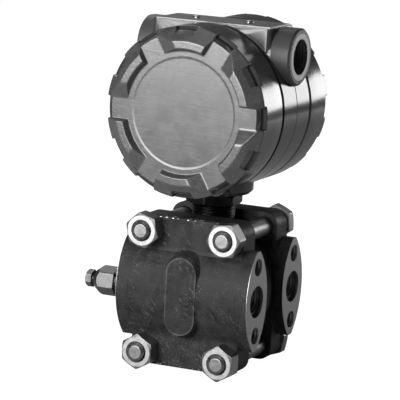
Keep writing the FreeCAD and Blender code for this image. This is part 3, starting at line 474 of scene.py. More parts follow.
HUB_Z = HOUSING_Z + 33.1
HUB_RIGHT, HUB_LEFT, HUB_FACE = 50.9, -48.4, 13.8
hub_radius = distance_from(look, (0, 0, HUB_Z), (0, 1, 1))
at_end = calc(tree, "MAXIMUM", calc(tree, "GREATER_THAN", x, (NECK_X + HUB_RIGHT) * MM),
              calc(tree, "LESS_THAN", x, (NECK_X + HUB_LEFT) * MM))
faced = times(tree, at_end, within(tree, hub_radius, HUB_FACE, HUB_FACE + 0.2))
machine(look, faced, 0.55, 0.34, distance=hub_radius, feed=0.35)
cast_end = ramp(tree, apart(tree, x, NECK_X), 38.6 * MM, 39.2 * MM, 0.0, 0.36)
on_hub = within(tree, hub_radius, 17.5, 18.0)
look.gloss = calc(tree, "ADD", look.gloss, times(tree, cast_end, on_hub))
settle(look)
print("finish", list(MATERIALS)[-1])

# %% [markdown]
# The flanges are steel castings with a dark oxide skin, so the base is a
# dull dielectric and only the rubbed marks turn metallic.  The lens-shaped
# ends are machined for the process fittings; the tapped holes in them are
# painted darker deep inside, partly painted shade and partly thread dope.

# %% Flange casting
FLANGE_REACH, PORT_Y, TAP_Z = 42.86, 27.0, 41.3 / 2
PORT_MOUTH, PORT_RADIUS, TAP_RADIUS = 9.6, 6.85, 5.25
look = finish("flange_casting", 0.009, 0.034, 0.0, 0.50, 0.22, grain=0.9, depth=0.06,
              patch=8.0, rubbed=0.12, rub=0.8, rub_length=8.0)
tree = look.tree
OXIDE_SPECULAR = 0.14
look.shader.inputs["Specular IOR Level"].default_value = OXIDE_SPECULAR
look.metal = times(tree, look.marks, 0.8)
x, y, z = coordinates(look)
sideways, outwards, upwards = apart(tree, x, NECK_X), apart(tree, y, 0.0), apart(tree, z, 0.0)
bare = calc(tree, "GREATER_THAN", sideways, (FLANGE_REACH - 0.24) * MM)
folded = node(tree, "CombineXYZ", {0: x, 1: outwards, 2: upwards}).outputs[0]
from_port, from_tap = (distance_from(look, (0, PORT_Y, hole_z), (0, 1, 1), folded) for hole_z in (0.0, TAP_Z))
holes = calc(tree, "MAXIMUM", calc(tree, "LESS_THAN", from_port, (PORT_MOUTH + 0.15) * MM),
             calc(tree, "LESS_THAN", from_tap, (TAP_RADIUS + 0.15) * MM))
machine(look, calc(tree, "MAXIMUM", bare, holes), 0.33, 0.38, distance=z, feed=0.5, share=0.7)
# Deep in the bores the colour is darker: partly painted shade, partly thread dope.
bore_shade_and_dope = times(tree, holes, within(tree, sideways, 40.5, 42.4))
look.colour = blend(tree, bore_shade_and_dope, look.colour, 0.10)
print("machined ends beyond", FLANGE_REACH - 0.24, "mm")

# %% [markdown]
# Wear follows edges.  The rim of the upright pad is the highest line of the
# casting, so it is painted lighter in an uneven band: partly rub wear, partly
# a painted highlight.  The long edges of the plate are chipped to bare steel.
# Both masks are a distance from the edge, broken up by noise.

# %% Flange wear
PAD_X, PAD_Z = 9.8, 23.5
EDGE_Y, EDGE_Z = 33.0, 45.2
along_pad = calc(tree, "MAXIMUM", calc(tree, "SUBTRACT", upwards, (PAD_Z - PAD_X) * MM), 0.0)
stadium = node(tree, "CombineXYZ", {0: x, 2: along_pad}).outputs[0]
from_pad = distance_from(look, (NECK_X, 0, 0), (1, 0, 1), stadium)
uneven = noise(tree, look.where, 130.0, 3.0)
# The pad's rim is coloured lighter: partly rub wear, partly a painted highlight along its edge.
rim = times(tree, beyond(tree, from_pad, PAD_X - 1.2, PAD_X - 0.4),
           within(tree, from_pad, PAD_X, PAD_X + 0.8), ramp(tree, uneven, 0.35, 0.60, 0.15, 0.75))
look.colour = blend(tree, rim, look.colour, 0.10)

corner = calc(tree, "MAXIMUM", apart(tree, outwards, EDGE_Y), apart(tree, upwards, EDGE_Z))
chips = times(tree, ramp(tree, noise(tree, look.where, 420.0, 2.0), 0.56, 0.64),
              within(tree, corner, 0.5, 0.9))
machine(look, chips, 0.5, 0.4)
settle(look)
print("finish", list(MATERIALS)[-1])

# %% [markdown]
# Nuts are zinc plated: their turned round faces shine, the flats are duller.
# The two are told apart by how squarely the surface faces along Y, the bolts'
# direction.  Bolt ends are sheared and chamfered bar.  The fittings are
# stainless steel, the neck and the cell are given very dark tones, and the
# plate is brushed along its length.

# %% Fasteners and fittings
look = finish("nut_zinc", 0.20, 0.34, 1.0, 0.44, 0.14, grain=0.35, depth=0.006,
              patch=4.0, rubbed=0.12, rub=0.5, rub_length=3.0)
tree = look.tree
normal = node(tree, "TexCoord").outputs["Normal"]
facing_bolt = calc(tree, "ABSOLUTE", node(tree, "SeparateXYZ", {0: normal}).outputs[Y])
round_face = ramp(tree, facing_bolt, 0.93, 0.985)
shine = blend(tree, look.patches, 0.34, 0.54)
look.colour = blend(tree, round_face, look.colour, shine)
look.colour = blend(tree, times(tree, look.marks, 0.9), look.colour, 0.3)
look.gloss = between(tree, round_face, look.gloss, 0.48)
settle(look)

# Dark and light tone, metallic, roughness and its spread, grain, bump depth, patch
# size, rubbed tone, amount and length of the rub marks.
STEELS = {"bolt_steel": (0.16, 0.30, 1.0, 0.44, 0.16, 0.3, 0.012, 2.6, 0.5, 0.5, 2.0),
          "valve_steel": (0.07, 0.13, 1.0, 0.40, 0.12, 0.35, 0.006, 5.0, 0.5, 0.3, 3.0),
          "neck_steel": (0.010, 0.024, 1.0, 0.34, 0.1, 0.5, 0.006, 5.0, 0.3, 0.35, 3.0),
          "small_screw": (0.32, 0.48, 1.0, 0.30, 0.12, 0.25, 0.004, 2.0, 0.15, 0.5, 1.5),
          "diaphragm_alloy": (0.50, 0.60, 1.0, 0.22, 0.06, 0.6, 0.002, 8.0)}
for slot, values in STEELS.items():
    settle(finish(slot, *values))

look = finish("module_steel", 0.030, 0.055, 0.8, 0.42, 0.12, grain=0.5, depth=0.008,
              patch=7.0, rubbed=0.3, rub=0.25)
lines = place(look.tree, tool_marks, {"Distance": coordinates(look)[Y], "Feed": 0.25})["Height"]
look.height = calc(look.tree, "ADD", times(look.tree, look.height, 0.5), lines)
settle(look)

look = finish("plate_metal", 0.10, 0.16, 1.0, 0.36, 0.1, grain=0.4, depth=0.004,
              patch=10.0, rubbed=0.6, rub=0.35, rub_length=10.0)
tree = look.tree
brushed = node(tree, "Mapping", {"Vector": look.where, "Scale": (0.03, 1.0, 1.0)}).outputs[0]
look.height = calc(tree, "ADD", times(tree, look.height, 0.4), noise(tree, brushed, 4200.0, 2.0))
settle(look)
print(len(MATERIALS), "finishes so far")

# %% [markdown]
# Inside are the parts nobody sees until a cover comes off: rubber rings,
# filled fluoropolymer gaskets, a moulded terminal block, and two circuit
# boards on brass posts.  They have their own colours.  The boards' tracks are
# the mortar lines of a brick texture, turned to lie in the boards' plane.

# %% Inner parts
INNER = {"seal_rubber": (0.008, 0.014, 0.0, 0.55, 0.1, 0.3, 0.008, 6.0),
         "filled_ptfe": ((0.52, 0.50, 0.45), (0.62, 0.60, 0.55), 0.0, 0.5, 0.1, 0.4, 0.008, 5.0),
         "block_moulding": ((0.020, 0.022, 0.025), (0.032, 0.034, 0.038), 0.0, 0.38, 0.1, 0.25, 0.010, 8.0,
                            0.08, 0.3),
         "post_brass": ((0.42, 0.28, 0.10), (0.55, 0.38, 0.16), 1.0, 0.30, 0.1, 0.3, 0.004, 3.0,
                        (0.30, 0.18, 0.06), 0.3)}
for slot, values in INNER.items():
    settle(finish(slot, *values))

look = finish("circuit_board", (0.012, 0.085, 0.035), (0.018, 0.115, 0.048), 0.0, 0.32, 0.08, grain=0.6,
              depth=0.004, patch=9.0)
tree = look.tree
on_board = node(tree, "Mapping", {"Vector": look.where, "Rotation": (math.pi / 2, 0, 0)}).outputs[0]
tracks = node(tree, "TexBrick", {"Vector": on_board, "Color1": (0, 0, 0, 1), "Color2": (0, 0, 0, 1),
                                 "Mortar": (1, 1, 1, 1), "Scale": 90.0, "Mortar Size": 0.03})
look.colour = blend(tree, times(tree, tracks.outputs["Color"], 0.55), look.colour, (0.05, 0.24, 0.10))
settle(look)

for name, thing in frame["nodes"].items():
    thing.data.materials.clear()
    thing.data.materials.append(MATERIALS[SLOT_OF[name]])
print(len(MATERIALS), "finishes on", len(frame["nodes"]), "nodes")

# %% [markdown]
# ## Surfaces from arrays
# A new piece is a grid of points.  Its rows run along a profile and its
# columns run around the piece, so a nut, a thread and a cast cover are each
# one array computed at once.  Joining the grid into faces is the same work
# every time, so it is done here once.

# %% Grid to mesh
def surface(grid, loop=False, sharp=None):
    """A closed mesh from a grid in millimetres, rows x columns x 3.

    Columns wrap around.  The first and last rows join each other (loop), or
    each closes on a pole in its middle.  Faces are turned to point outwards:
    the volume, a sum of a . (b x c) over the triangles, must be positive.
    """
    rows, columns = grid.shape[:2]
    index = np.arange(rows * columns).reshape(rows, columns)
    points = grid.reshape(-1, 3)
    poles = np.empty((0, 3), dtype=int)
    if loop:
        index = np.vstack([index, index[:1]])
    else:
        after = np.roll(index, -1, axis=1)
        low, high = len(points), len(points) + 1
        points = np.vstack([points, grid[0].mean(axis=0), grid[-1].mean(axis=0)])
        poles = np.vstack([np.stack([index[0], after[0], np.full(columns, low)], axis=1),
                           np.stack([after[-1], index[-1], np.full(columns, high)], axis=1)])
    right = np.roll(index, -1, axis=1)
    quads = np.stack([index[:-1], index[1:], right[1:], right[:-1]], axis=-1).reshape(-1, 4)
    halves = np.vstack([quads[:, :3], quads[:, [0, 2, 3]], poles])
    a, b, c = (points[halves[:, corner]] for corner in range(3))
    if np.sum(a * np.cross(b, c)) < 0:
        quads, poles = quads[:, ::-1], poles[:, ::-1]
    mesh = bpy.data.meshes.new("surface")
    mesh.from_pydata((points * MM).tolist(), [], quads.tolist() + poles.tolist())
    mesh.shade_smooth()
    if sharp:
        mesh.set_sharp_from_angle(angle=math.radians(sharp))
    return mesh


def add(name, mesh, node, hides=True, material=None):
    """Makes a piece that rides with a node's body and, if it hides it, stands for the node."""
    mesh.name = name
    piece = bpy.data.objects.new(name, mesh)
    scene.collection.objects.link(piece)
    if not mesh.materials:
        mesh.materials.append(MATERIALS[material or SLOT_OF[node]])
    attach(piece, BODY_OF[node])
    if hides:
        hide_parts(node)
    return piece


print("surface and add ready")

# %% [markdown]
# ## Turning, hexagons and threads
# Most of the hardware is lathe work.  `around` puts a radius and a height at
# every angle, `stand` lays the result along an axis, and `soft` is the one
# rounded step that all cast edges share.

# %% Lathe helpers
AXES = {"x": ((0, 0, -1), (0, 1, 0), (1, 0, 0)), "-x": ((0, 0, 1), (0, 1, 0), (-1, 0, 0)),
        "y": ((1, 0, 0), (0, 0, -1), (0, 1, 0)), "-y": ((1, 0, 0), (0, 0, 1), (0, -1, 0)),
        "z": ((1, 0, 0), (0, 1, 0), (0, 0, 1))}


def angles(count):
    return np.linspace(0.0, 2.0 * np.pi, count, endpoint=False)[None, :]


def column(values):
    return np.array(values, dtype=float)[:, None]


def around(radius, height, angle):
    """Points (r cos a, r sin a, h); radius and height may change with the angle."""
    radius, height, angle = np.broadcast_arrays(radius, height, angle)
    return np.stack([radius * np.cos(angle), radius * np.sin(angle), height], axis=-1)


def stand(points, at, along="z"):
    """Turns the third coordinate to an axis of the object and moves the points there."""
    return points @ np.array(AXES[along], dtype=float) + np.array(at, dtype=float)


def soft(distance, width):
    """A step from 0 to 1 over a width, as 3t^2 - 2t^3, centred where the distance is 0."""
    t = np.clip(distance / width + 0.5, 0.0, 1.0)
    return t * t * (3.0 - 2.0 * t)


CRISPNESS = 48.0


def hexagon_radius(half_across, angle, turn):
    """Radius of a hexagon with slightly rounded corners: the apothem over the
    p-norm of the cosines of the angles to its six flats."""
    flats = np.arange(6)[:, None, None] * (np.pi / 3) + turn
    cosines = np.clip(np.cos(angle[None] - flats), 0.0, None)
    return half_across / np.sum(cosines ** CRISPNESS, axis=0) ** (1.0 / CRISPNESS)


def eased(profile, edge=0.25):
    """A profile of (radius, height) with each inner corner replaced by a small
    three-point round and a holding point before and after it."""
    points = np.array(profile, dtype=float)
    corner = points[1:-1]
    steps = []
    for side in (points[:-2] - corner, points[2:] - corner):
        length = np.linalg.norm(side, axis=1, keepdims=True)
        steps += [corner + side / length * np.minimum(reach, length / part)
                  for reach, part in ((2 * edge, 3), (edge, 4))]
    hold_back, near_back, hold_ahead, near_ahead = steps
    middle = (near_back + near_ahead + 2 * corner) / 4
    rounds = np.stack([hold_back, near_back, middle, near_ahead, hold_ahead], axis=1)
    return np.vstack([points[:1], rounds.reshape(-1, 2), points[-1:]])


def turned(profile, at, along="z", columns=96, edge=0.25):
    """A profile of (radius, height) carried round an axis, with eased corners."""
    rows = eased(profile, edge)
    return surface(stand(around(rows[:, :1], rows[:, 1:], angles(columns)), at, along))


print("lathe helpers ready")

# %% [markdown]
# A screw thread is a lathe surface whose radius rises and falls along the
# axis while the whole pattern climbs one pitch a turn.  The depth fades out
# at both ends, so the first and last thread run out as cut ones do.

# %% Threads
PITCH_14 = 1.81          # 14 threads an inch: bolts, ports and conduit entries
ROWS_A_PITCH = 10


def thread(radius, pitch, depth, start, end, at, along="z", bore=None, columns=72):
    """r = radius - depth x wave(height / pitch - angle / 2 pi), where the wave is a
    rounded triangle.  With a bore it is the inside of a sleeve: the wave adds to it."""
    rows = int((end - start) / pitch * ROWS_A_PITCH)
    height = column(np.linspace(start, end, rows))
    angle = angles(columns)
    wave = 0.5 + 0.5 * np.cos(2 * np.pi * (height / pitch - angle / (2 * np.pi)))
    fade = np.clip(np.minimum(height - start, end - height) / pitch, 0.0, 1.0)
    if bore is None:
        return surface(stand(around(radius - depth * wave * fade, height, angle), at, along))
    inner = around(bore - depth * wave * fade, height, angle)
    outer = around(radius, height[::-1], angle)
    return surface(stand(np.concatenate([inner, outer]), at, along), loop=True)


print("threads of", ROWS_A_PITCH, "rows a pitch")

# %% [markdown]
# ## Cast covers
# Each cover is a screwed cap.  Its face is flat out to the rim, with a shallow
# recess in the middle, and six lobes stand on it for a strap wrench.  Every
# lobe is like a small hipped roof: a steep wall on the inner side and at one
# end, a ramp at the other end, a long slope outwards, and a narrow flat top.
# A casting has no sharp corner, so the face is one height map in polar form:
# a roof is the lowest of its planes at each point, and a rounded minimum
# gives every hip its radius at once.

# %% Cover relief
RECESS_RADIUS, RECESS_DEPTH, RECESS_SLOPE = 32.5, 0.22, 1.5
LOBE_RISE, LOBE_INNER, LOBE_FLAT = 4.2, 36.3, 42.5
INNER_RUN, STEEP_EDGE, STEEP_RUN, RAMP_EDGE, RAMP_RUN = 1.6, 7.3, 0.9, 5.5, 8.6
OUTER_FALL, FACE_REACH, FACE_FALL = 0.795, 47.0, 0.9
HIP_ROUND, FOOT_ROUND = 0.5, 0.4
SIXTH = math.pi / 3


def lower(first, second, round_off):
    """Rounded minimum: min(a, b) less (k - |a - b|)^2 / 4k where they are within k."""
    near = np.clip(round_off - np.abs(first - second), 0.0, None)
    return np.minimum(first, second) - near * near / (4.0 * round_off)


def cover_height(radius, angle):
    """Height over the face: a lobe is the rounded minimum of five planes, and the
    face under it is flat to its reach and then falls away."""
    from_spoke = angle % SIXTH
    steep_end = (radius * np.sin(from_spoke) - STEEP_EDGE) * LOBE_RISE / STEEP_RUN
    ramp_end = (radius * np.sin(SIXTH - from_spoke) - RAMP_EDGE) * LOBE_RISE / RAMP_RUN
    inner_wall = (radius - LOBE_INNER) * LOBE_RISE / INNER_RUN
    outer_slope = LOBE_RISE - (radius - LOBE_FLAT) * OUTER_FALL
    lobe = lower(lower(steep_end, inner_wall, HIP_ROUND), lower(ramp_end, outer_slope, HIP_ROUND), HIP_ROUND)
    lobe = lower(lobe, LOBE_RISE, HIP_ROUND)
    face = lower(0.0, (FACE_REACH - radius) * FACE_FALL, HIP_ROUND)
    face = face - RECESS_DEPTH * soft(RECESS_RADIUS - radius, RECESS_SLOPE)
    return -lower(-lobe, -face, FOOT_ROUND)


print("six lobes", LOBE_RISE, "mm high")

# %% [markdown]
# The rim has twelve notches for a strap.  They could be cut with a Boolean,
# but it is cleaner to squeeze the outer rows of the grid inwards where a notch
# lies: the surface stays in one piece.  The notches stop part way along the
# barrel with a soft run-out, as a cutter leaves.

# %% Cover surface
COVER_FACE, BARREL, SKIRT_END = 50.1, 50.8, 29.3
SEAL_BORE, INNER_BORE, CROWN_DEPTH = 49.2, 46.9, 8.9
NOTCH_TURN, NOTCH_HALF = math.radians(1.5), math.radians(7.5)
NOTCH_DEPTH, NOTCH_FLOOR, NOTCH_FROM, NOTCH_SIDE, RUN_OUT = 5.7, 48.3, 46.2, 0.7, 2.0
COVER_COLUMNS = 900


def nearest_turn(angle, step, offset=0.0):
    """Angle from the nearest of the directions offset, offset + step, ..."""
    return (angle - offset + step / 2) % step - step / 2


def cover_surface(along):
    """Rows run from the middle of the disc over the rim, back along the barrel,
    round the open edge and up the inside to the middle again."""
    angle = angles(COVER_COLUMNS)
    face_rows = column(np.concatenate([[4.0, 14.0, 25.0, 31.3], np.linspace(31.6, 33.4, 9),
                                       [33.7, 35.2], np.linspace(35.9, 50.5, 44)]))
    face = cover_height(face_rows, angle)
    rim = [(50.72, -0.35), (BARREL, -0.9), (BARREL, -1.4)]
    barrel = [(BARREL, -depth) for depth in (4.2, 4.6, 5.0, 5.4, 5.8, 6.4, 8.0, 16.0, 27.9)]
    open_edge = [(50.78, -28.1), (50.6, -28.35), (49.95, -29.15), (49.8, -SKIRT_END), (49.4, -SKIRT_END)]
    inside = [(49.35, -29.1), (49.35, -27.2), (SEAL_BORE, -27.0), (47.1, -27.0), (INNER_BORE, -26.8),
              (INNER_BORE, -26.2), (INNER_BORE, -9.4), (46.7, -CROWN_DEPTH), (45.8, -CROWN_DEPTH),
              (6.0, -CROWN_DEPTH)]
    side = barrel + open_edge + inside
    radius = np.concatenate([face_rows, column([r for r, h in rim + side])]) + 0.0 * angle
    height = np.concatenate([face, face[-1:] + column([h for r, h in rim]),
                             column([h for r, h in side]) + 0.0 * angle])
    in_notch = soft((NOTCH_HALF - np.abs(nearest_turn(angle, SIXTH / 2, NOTCH_TURN))) * BARREL, NOTCH_SIDE)
    in_front = soft(height + NOTCH_DEPTH - 0.9, RUN_OUT) * (radius > 45.0)
    squeeze = (BARREL - NOTCH_FLOOR) / (BARREL - NOTCH_FROM)
    radius = radius - in_notch * in_front * np.clip(radius - NOTCH_FROM, 0.0, None) * squeeze
    grid = around(radius, height + COVER_FACE, angle)
    return surface(stand(grid, (NECK_X, 0.0, HOUSING_Z), along))


for name, along in (("front_cover", "-y"), ("rear_cover", "y")):
    piece = add(name + "_casting", cover_surface(along), name)
    print(piece.name, len(piece.data.polygons), "faces")

# %% [markdown]
# ## Cast housing and flanges
# These solids have the right shape already, but a model's edges are sharper
# than a casting's.  A merged copy of the node's mesh takes a small Bevel,
# which rounds outer edges and fills inner corners alike, as the sand or the
# die does.

# %% Softened copies
SHARP = math.radians(30.0)


def softened(name, node, edge):
    """A copy of a node's mesh with its doubles merged, flat faces dissolved and
    every edge sharper than 30 degrees rounded by the Bevel modifier."""
    work = bmesh.new()
    work.from_mesh(frame["nodes"][node].data)
    bmesh.ops.remove_doubles(work, verts=work.verts, dist=0.004 * MM)
    bmesh.ops.dissolve_limit(work, angle_limit=math.radians(0.6), verts=work.verts, edges=work.edges)
    mesh = bpy.data.meshes.new(name)
    work.to_mesh(mesh)
    work.free()
    mesh.materials.clear()
    mesh.shade_smooth()
    mesh.set_sharp_from_angle(angle=SHARP)
    piece = add(name, mesh, node)
    bevel = piece.modifiers.new("cast_edges", "BEVEL")
    bevel.width, bevel.segments = edge * MM, 3
    bevel.limit_method, bevel.angle_limit = "ANGLE", SHARP
    bevel.harden_normals = True
    return piece


for name, edge in (("front_flange", 0.9), ("rear_flange", 0.9), ("housing_body", 0.7), ("name_plate", 0.2)):
    piece = softened(name + "_soft", name, edge)
    print(piece.name, len(piece.data.polygons), "faces before the bevel")

# %% [markdown]
# The front of each flange is where a casting looks cast: the lens-shaped band
# runs into the flat plate and the upright pad into the band with generous
# fillets.  A thin skin over the front gives them.  It is a height map over
# the plate's outline, the rounded maximum of plate, band and pad, a few
# hundredths of a millimetre proud of the solid.

# %% Flange skins
PLATE_X, PLATE_Z, PLATE_CORNER, PLATE_Y = 35.2, 45.7, 8.0, 33.5
BAND_RADIUS, BAND_CROWN, BAND_REACH = 37.75, 42.1, 26.5
FILLET, PAD_LEVEL, PAD_ROUND, PAD_FILLET, PAD_DRAFT = 3.2, 42.7, 1.5, 1.6, 2.6
PROUD, EDGE_ROUND, SKIN = 0.04, 1.1, 0.9


def rounded_edge(inside):
    """How far an edge falls: e (1 - d / e)^2 within its round e, at a distance d inside it."""
    return EDGE_ROUND * np.clip(1.0 - inside / EDGE_ROUND, 0.0, 1.0) ** 2


def flange_front(x, z):
    """Distance of the front surface from the middle plane: plate and band meet in a
    3.2 mm fillet, and the pad is a stadium with drafted sides and rounded edges."""
    band = BAND_CROWN - BAND_RADIUS + np.sqrt(BAND_RADIUS ** 2 - np.minimum(np.abs(z), 36.0) ** 2)
    front = -lower(-band, -PLATE_Y, FILLET)
    outside = np.hypot(x, np.clip(np.abs(z) - (PAD_Z - PAD_X), 0.0, None)) - PAD_X
    pad = lower(PAD_LEVEL - (outside + 0.5) * PAD_DRAFT, PAD_LEVEL, PAD_ROUND)
    front = -lower(-front, -pad, PAD_FILLET)
    return front + PROUD - rounded_edge(PLATE_Z - np.abs(z))


def flange_skin(side):
    """A closed sheet: rows climb the plate, and columns cross the front from edge to
    edge of its rounded outline and come back 0.9 mm behind it."""
    z = column(np.linspace(-PLATE_Z, PLATE_Z, 215))
    into = np.clip(np.abs(z) - (PLATE_Z - PLATE_CORNER), 0.0, PLATE_CORNER)
    reach = PLATE_X - PLATE_CORNER + np.sqrt(PLATE_CORNER ** 2 - into ** 2)
    share = np.linspace(-1.0, 1.0, 165)[None, :]
    x = share * reach
    off_band = 1.0 - soft(BAND_REACH - np.abs(z), 3.0)
    top = flange_front(x, z) - rounded_edge(reach - np.abs(x)) * off_band
    front = np.stack([NECK_X + x, side * top, z + 0.0 * x], axis=-1)
    back = np.stack([NECK_X + x * 0.998, side * (top - SKIN), z * 0.999 + 0.0 * x], axis=-1)
    return surface(np.concatenate([front, back[:, ::-1]], axis=1))


SIDES = {"front_flange": -1, "rear_flange": 1}
for name, side in SIDES.items():
    add(name + "_skin", flange_skin(side), name, hides=False)
print("flange skins with a", FILLET, "mm fillet")

# %% [markdown]
# ## Nuts, bolts and lock nut
# A hexagon nut is turned from hexagon bar: a 30 degree cone cuts its corners
# to a round face and a countersink opens its thread.  Written as a surface,
# the outer wall follows the hexagon's radius, and the cone lowers the wall's
# top edge most at the corners, which draws the arcs seen on every flat.

# %% Hexagon hardware
CONE = math.tan(math.radians(30.0))
SHARP_HEXAGON = 24.0


def stacked(rows, angle):
    """Points of rows (radius, height), each of which may change with the angle."""
    radius, height = (np.concatenate([row[part] + 0.0 * angle for row in rows]) for part in (0, 1))
    return around(radius, height, angle)


def hexagon_piece(half_across, height, at, along, turn, bore=0.0, countersink=0.9,
                  low_cone=True, face=0.94):
    """Rows go up the hexagon wall, in over the cone to the round face and, with a
    bore, down the countersink and back through the bore.  A turn of 0 points a corner
    along the piece's first direction."""
    angle = angles(180)
    corner = hexagon_radius(half_across, angle, math.radians(turn + 30.0))
    ring = half_across * face
    drop = np.clip(corner - ring, 0.0, None) * CONE
    rise = drop if low_cone else 0.0 * drop
    rows = [(np.minimum(corner, ring) if low_cone else corner, 0.0), (corner, rise),
            (corner, 0.5 * (rise + height - drop)), (corner, height - drop),
            ((corner + ring) / 2, height - drop / 2), (ring, height)]
    if bore:
        rows += [(bore + countersink, height), (bore, height - countersink), (bore, 0.0)]
    return surface(stand(stacked(rows, angle), at, along), loop=bool(bore), sharp=SHARP_HEXAGON)


print("hexagon pieces ready")

# %% [markdown]
# The four bolts hold both flanges against the cell: a forged head behind, a
# plain shank between, and a thread with a chamfered point in front.  No two
# nuts stop at the same angle, so each has its own turn.

# %% Nuts and bolts
NUT_HALF, NUT_BORE = 19.05 / 2, 5.65
NUT_HEIGHT, HEAD_HEIGHT, BOLT_RADIUS = 10.7, 7.2, 5.55
THREAD_DEPTH, POINT_RADIUS = 0.75, 4.75
TURNS = {"upper_left": (-17.0, 10.0), "upper_right": (5.0, 25.0),
         "lower_left": (30.0, 5.0), "lower_right": (30.0, 40.0)}
FLANGE_FACE = -span("flange_nut_upper_left", Y)[1]
for name, (nut_turn, head_turn) in TURNS.items():
    nut, bolt = "flange_nut_" + name, "flange_bolt_" + name
    middle = centre(nut) / MM
    axis = (middle.x, 0.0, middle.z)
    add(nut + "_hexagon", hexagon_piece(NUT_HALF, NUT_HEIGHT, (middle.x, -FLANGE_FACE, middle.z), "-y",
                                        nut_turn, NUT_BORE), nut)
    add(bolt + "_head", hexagon_piece(NUT_HALF, HEAD_HEIGHT, (middle.x, FLANGE_FACE, middle.z), "y",
                                      head_turn, low_cone=False), bolt)
    end = -span(bolt, Y)[0]
    shank = [(0.5, -FLANGE_FACE), (BOLT_RADIUS, -FLANGE_FACE), (BOLT_RADIUS, 15.0), (5.2, 16.0), (5.2, 31.0)]
    point = [(0.5, end - 4.0), (POINT_RADIUS, end - 4.0), (POINT_RADIUS, end - 0.75), (4.0, end), (0.5, end)]
    add(bolt + "_shank", turned(shank, axis, "-y"), bolt, hides=False)
    add(bolt + "_thread", thread(BOLT_RADIUS - 0.05, PITCH_14, THREAD_DEPTH, 30.0, end - 1.0, axis, "-y"),
        bolt, hides=False)
    add(bolt + "_point", turned(point, axis, "-y"), bolt, hides=False)

LOCK_HALF, LOCK_BORE, LOCK_TURN = 30.3 / 2, 13.25, 33.0
LOCK_LOW, LOCK_HIGH = span("lock_nut", Z)
add("lock_nut_hexagon", hexagon_piece(LOCK_HALF, LOCK_HIGH - LOCK_LOW, (NECK_X, 0.0, LOCK_LOW), "z",
                                      LOCK_TURN, LOCK_BORE, 0.7), "lock_nut")
print("hexagon hardware on", sorted(TURNS), "and the neck")

# %% [markdown]
# ## Cell, foot and threaded neck
# The cell is two forged halves welded into a drum, lathe work about the
# cross axis.  The neck that carries the housing is threaded over its whole
# length.  Its round foot is milled flat where the flanges pass, and a circle
# cut by two planes is the p-norm of both distances, with soft corners.

# %% Cell and neck
CELL_RADIUS, WELD_RADIUS, WELD_HALF = 37.0, 34.5, 5.9
CELL_HALF = span("sensor_module", Y)[1]
drum = [(0.5, -CELL_HALF), (CELL_RADIUS, -CELL_HALF), (CELL_RADIUS, -WELD_HALF - 1.5),
        (WELD_RADIUS, -WELD_HALF)]
drum += [(radius, -height) for radius, height in reversed(drum)]
add("cell_drum", turned(drum, (NECK_X, 0.0, 0.0), "y", 128, 0.5), "sensor_module")

NECK_RADIUS, NECK_PITCH, NECK_DEPTH, NECK_FOOT = 13.15, 1.75, 0.95, 38.0
NECK_TOP = span("sensor_module", Z)[1]
neck = (NECK_X, 0.0, 0.0)
add("neck_thread", thread(NECK_RADIUS, NECK_PITCH, NECK_DEPTH, NECK_FOOT, NECK_TOP - 0.2, neck),
    "sensor_module", hides=False, material="neck_steel")

FOOT_RADIUS, FOOT_FLAT, FOOT_CORNER = 18.0, CELL_HALF - 0.6, 16
angle = angles(160)
foot = (1 / FOOT_RADIUS) ** FOOT_CORNER + (np.abs(np.sin(angle)) / FOOT_FLAT) ** FOOT_CORNER
foot = column([0.97, 1.0, 1.0, 1.0, 0.985, 0.95, 0.9]) / foot ** (1 / FOOT_CORNER)
foot = around(foot, column([26.0, 26.3, 39.0, 39.6, 40.2, 40.5, 40.5]), angle)
add("neck_foot", surface(stand(foot, neck)), "sensor_module", hides=False)
print("neck thread ends at", round(NECK_TOP, 2), "mm")

# %% [markdown]
# ## Vent valves
# Each vent seat is a hexagon bar whose nose is turned to a cone, screwed into
# the flange; the small stem in it has its own hexagon head and shows a few
# threads in the gap.

# %% Vent valves
SEAT_HALF, SEAT_HEIGHT, SEAT_NOSE, SEAT_PROUD = 15.9 / 2, 14.2, 5.7, 5.6
SEAT_CORNER, SEAT_CONE, SEAT_BORE = 9.18, 4.6, 3.65
STEM_HALF, STEM_HEAD = 4.75, 4.4


def vent_seat(at):
    """Rows go up the hexagon wall, whose top edge falls from the nose to the corners
    as a cone, over the nose and back down the bore."""
    angle = angles(180)
    corner = hexagon_radius(SEAT_HALF, angle, math.radians(40.0))
    cone = SEAT_CONE * np.clip((corner - SEAT_NOSE) / (SEAT_CORNER - SEAT_NOSE), 0.0, 1.0)
    rows = [(np.minimum(corner, 7.7), 0.0), (corner, 0.3), (corner, SEAT_HEIGHT - cone),
            (SEAT_NOSE, SEAT_HEIGHT), (4.2, SEAT_HEIGHT), (SEAT_BORE, 13.6), (SEAT_BORE, 0.0)]
    return surface(stand(stacked(rows, angle), at, "-x"), loop=True, sharp=SHARP_HEXAGON)


for side in ("front", "rear"):
    seat, stem = side + "_vent_seat", side + "_vent_stem"
    y = centre(seat).y / MM
    at = (NECK_X - FLANGE_REACH - SEAT_PROUD, y, 0.0)
    head_at = (span(stem, X)[0] + STEM_HEAD, y, 0.0)
    add(seat + "_hexagon", vent_seat(at), seat)
    add(seat + "_collar", thread(6.8, 1.41, 0.55, -17.0, 0.4, at, "-x"), seat, hides=False)
    add(stem + "_head", hexagon_piece(STEM_HALF, STEM_HEAD, head_at, "-x", 8.0, low_cone=False, face=0.8), stem)
    add(stem + "_thread", thread(3.55, 1.27, 0.55, -2.0, 16.8, at, "-x", columns=48), stem, hides=False)
    print(side, "vent at y", round(y, 1))

# %% [markdown]
# The ports are tapped.  A thread seen down a bore is most of what says
# "machined", so each hole gets a sleeve whose inner wall carries the helix, in
# the metal around it.  The conduit entries in the hubs get the same.

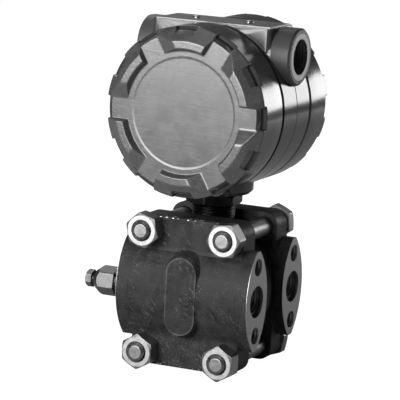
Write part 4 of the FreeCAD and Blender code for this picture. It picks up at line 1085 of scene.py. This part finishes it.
# %% Tapped ports
TAPPED = (("port", 0.0, PORT_RADIUS, 2.6), ("tap_upper", TAP_Z, TAP_RADIUS, 0.5),
          ("tap_lower", -TAP_Z, TAP_RADIUS, 0.5))
SLEEVE_LENGTH = 11.5
for name, side in SIDES.items():
    for hole, z, radius, start in TAPPED:
        at = (NECK_X + FLANGE_REACH, side * PORT_Y, z)
        sleeve = thread(radius + 0.25, PITCH_14, 0.8, start, start + SLEEVE_LENGTH, at, "-x",
                        bore=radius - 0.02, columns=48)
        add(f"{name}_{hole}_thread", sleeve, name, hides=False)

CONDUIT_BORE = 10.63
for end, along, side in ((HUB_RIGHT, "-x", "right"), (HUB_LEFT, "x", "left")):
    sleeve = thread(CONDUIT_BORE + 0.22, PITCH_14, 0.9, 1.2, 15.0, (NECK_X + end, 0.0, HUB_Z), along,
                    bore=CONDUIT_BORE)
    add("conduit_thread_" + side, sleeve, "housing_body", hides=False)
print(2 * len(TAPPED), "tapped holes and two conduit entries")

# %% [markdown]
# The plate's two screws have domed heads with a sawn slot.  The slot is cut
# in the height map of the dome: inside a narrow strip the surface drops.

# %% Plate screws
SCREW_RISE, SLOT_HALF, SLOT_DEPTH, SLOT_TURN = 1.3, 0.42, 0.6, 0.6
radius = column([0.1, 0.3, 0.45, 0.6, 0.8, 1.1, 1.5, 1.9, 2.2, 2.42, 2.55, 2.6, 2.6, 2.3])
dome = column([1.3, 1.3, 1.3, 1.3, 1.29, 1.27, 1.2, 1.08, 0.92, 0.72, 0.45, 0.2, 0.0, 0.0])
angle = angles(72)
across = np.abs(radius * np.sin(angle - SLOT_TURN))
in_slot = soft(SLOT_HALF - across, 0.12) * (dome > 0.3)
screw_head = around(radius, dome - SLOT_DEPTH * in_slot, angle)
for side in ("left", "right"):
    screw = "name_plate_screw_" + side
    middle, top = centre(screw) / MM, span(screw, Z)[1]
    add(screw + "_head", surface(stand(screw_head, (middle.x, middle.y, top - SCREW_RISE))), screw)
print("two slotted heads,", SCREW_RISE, "mm high")
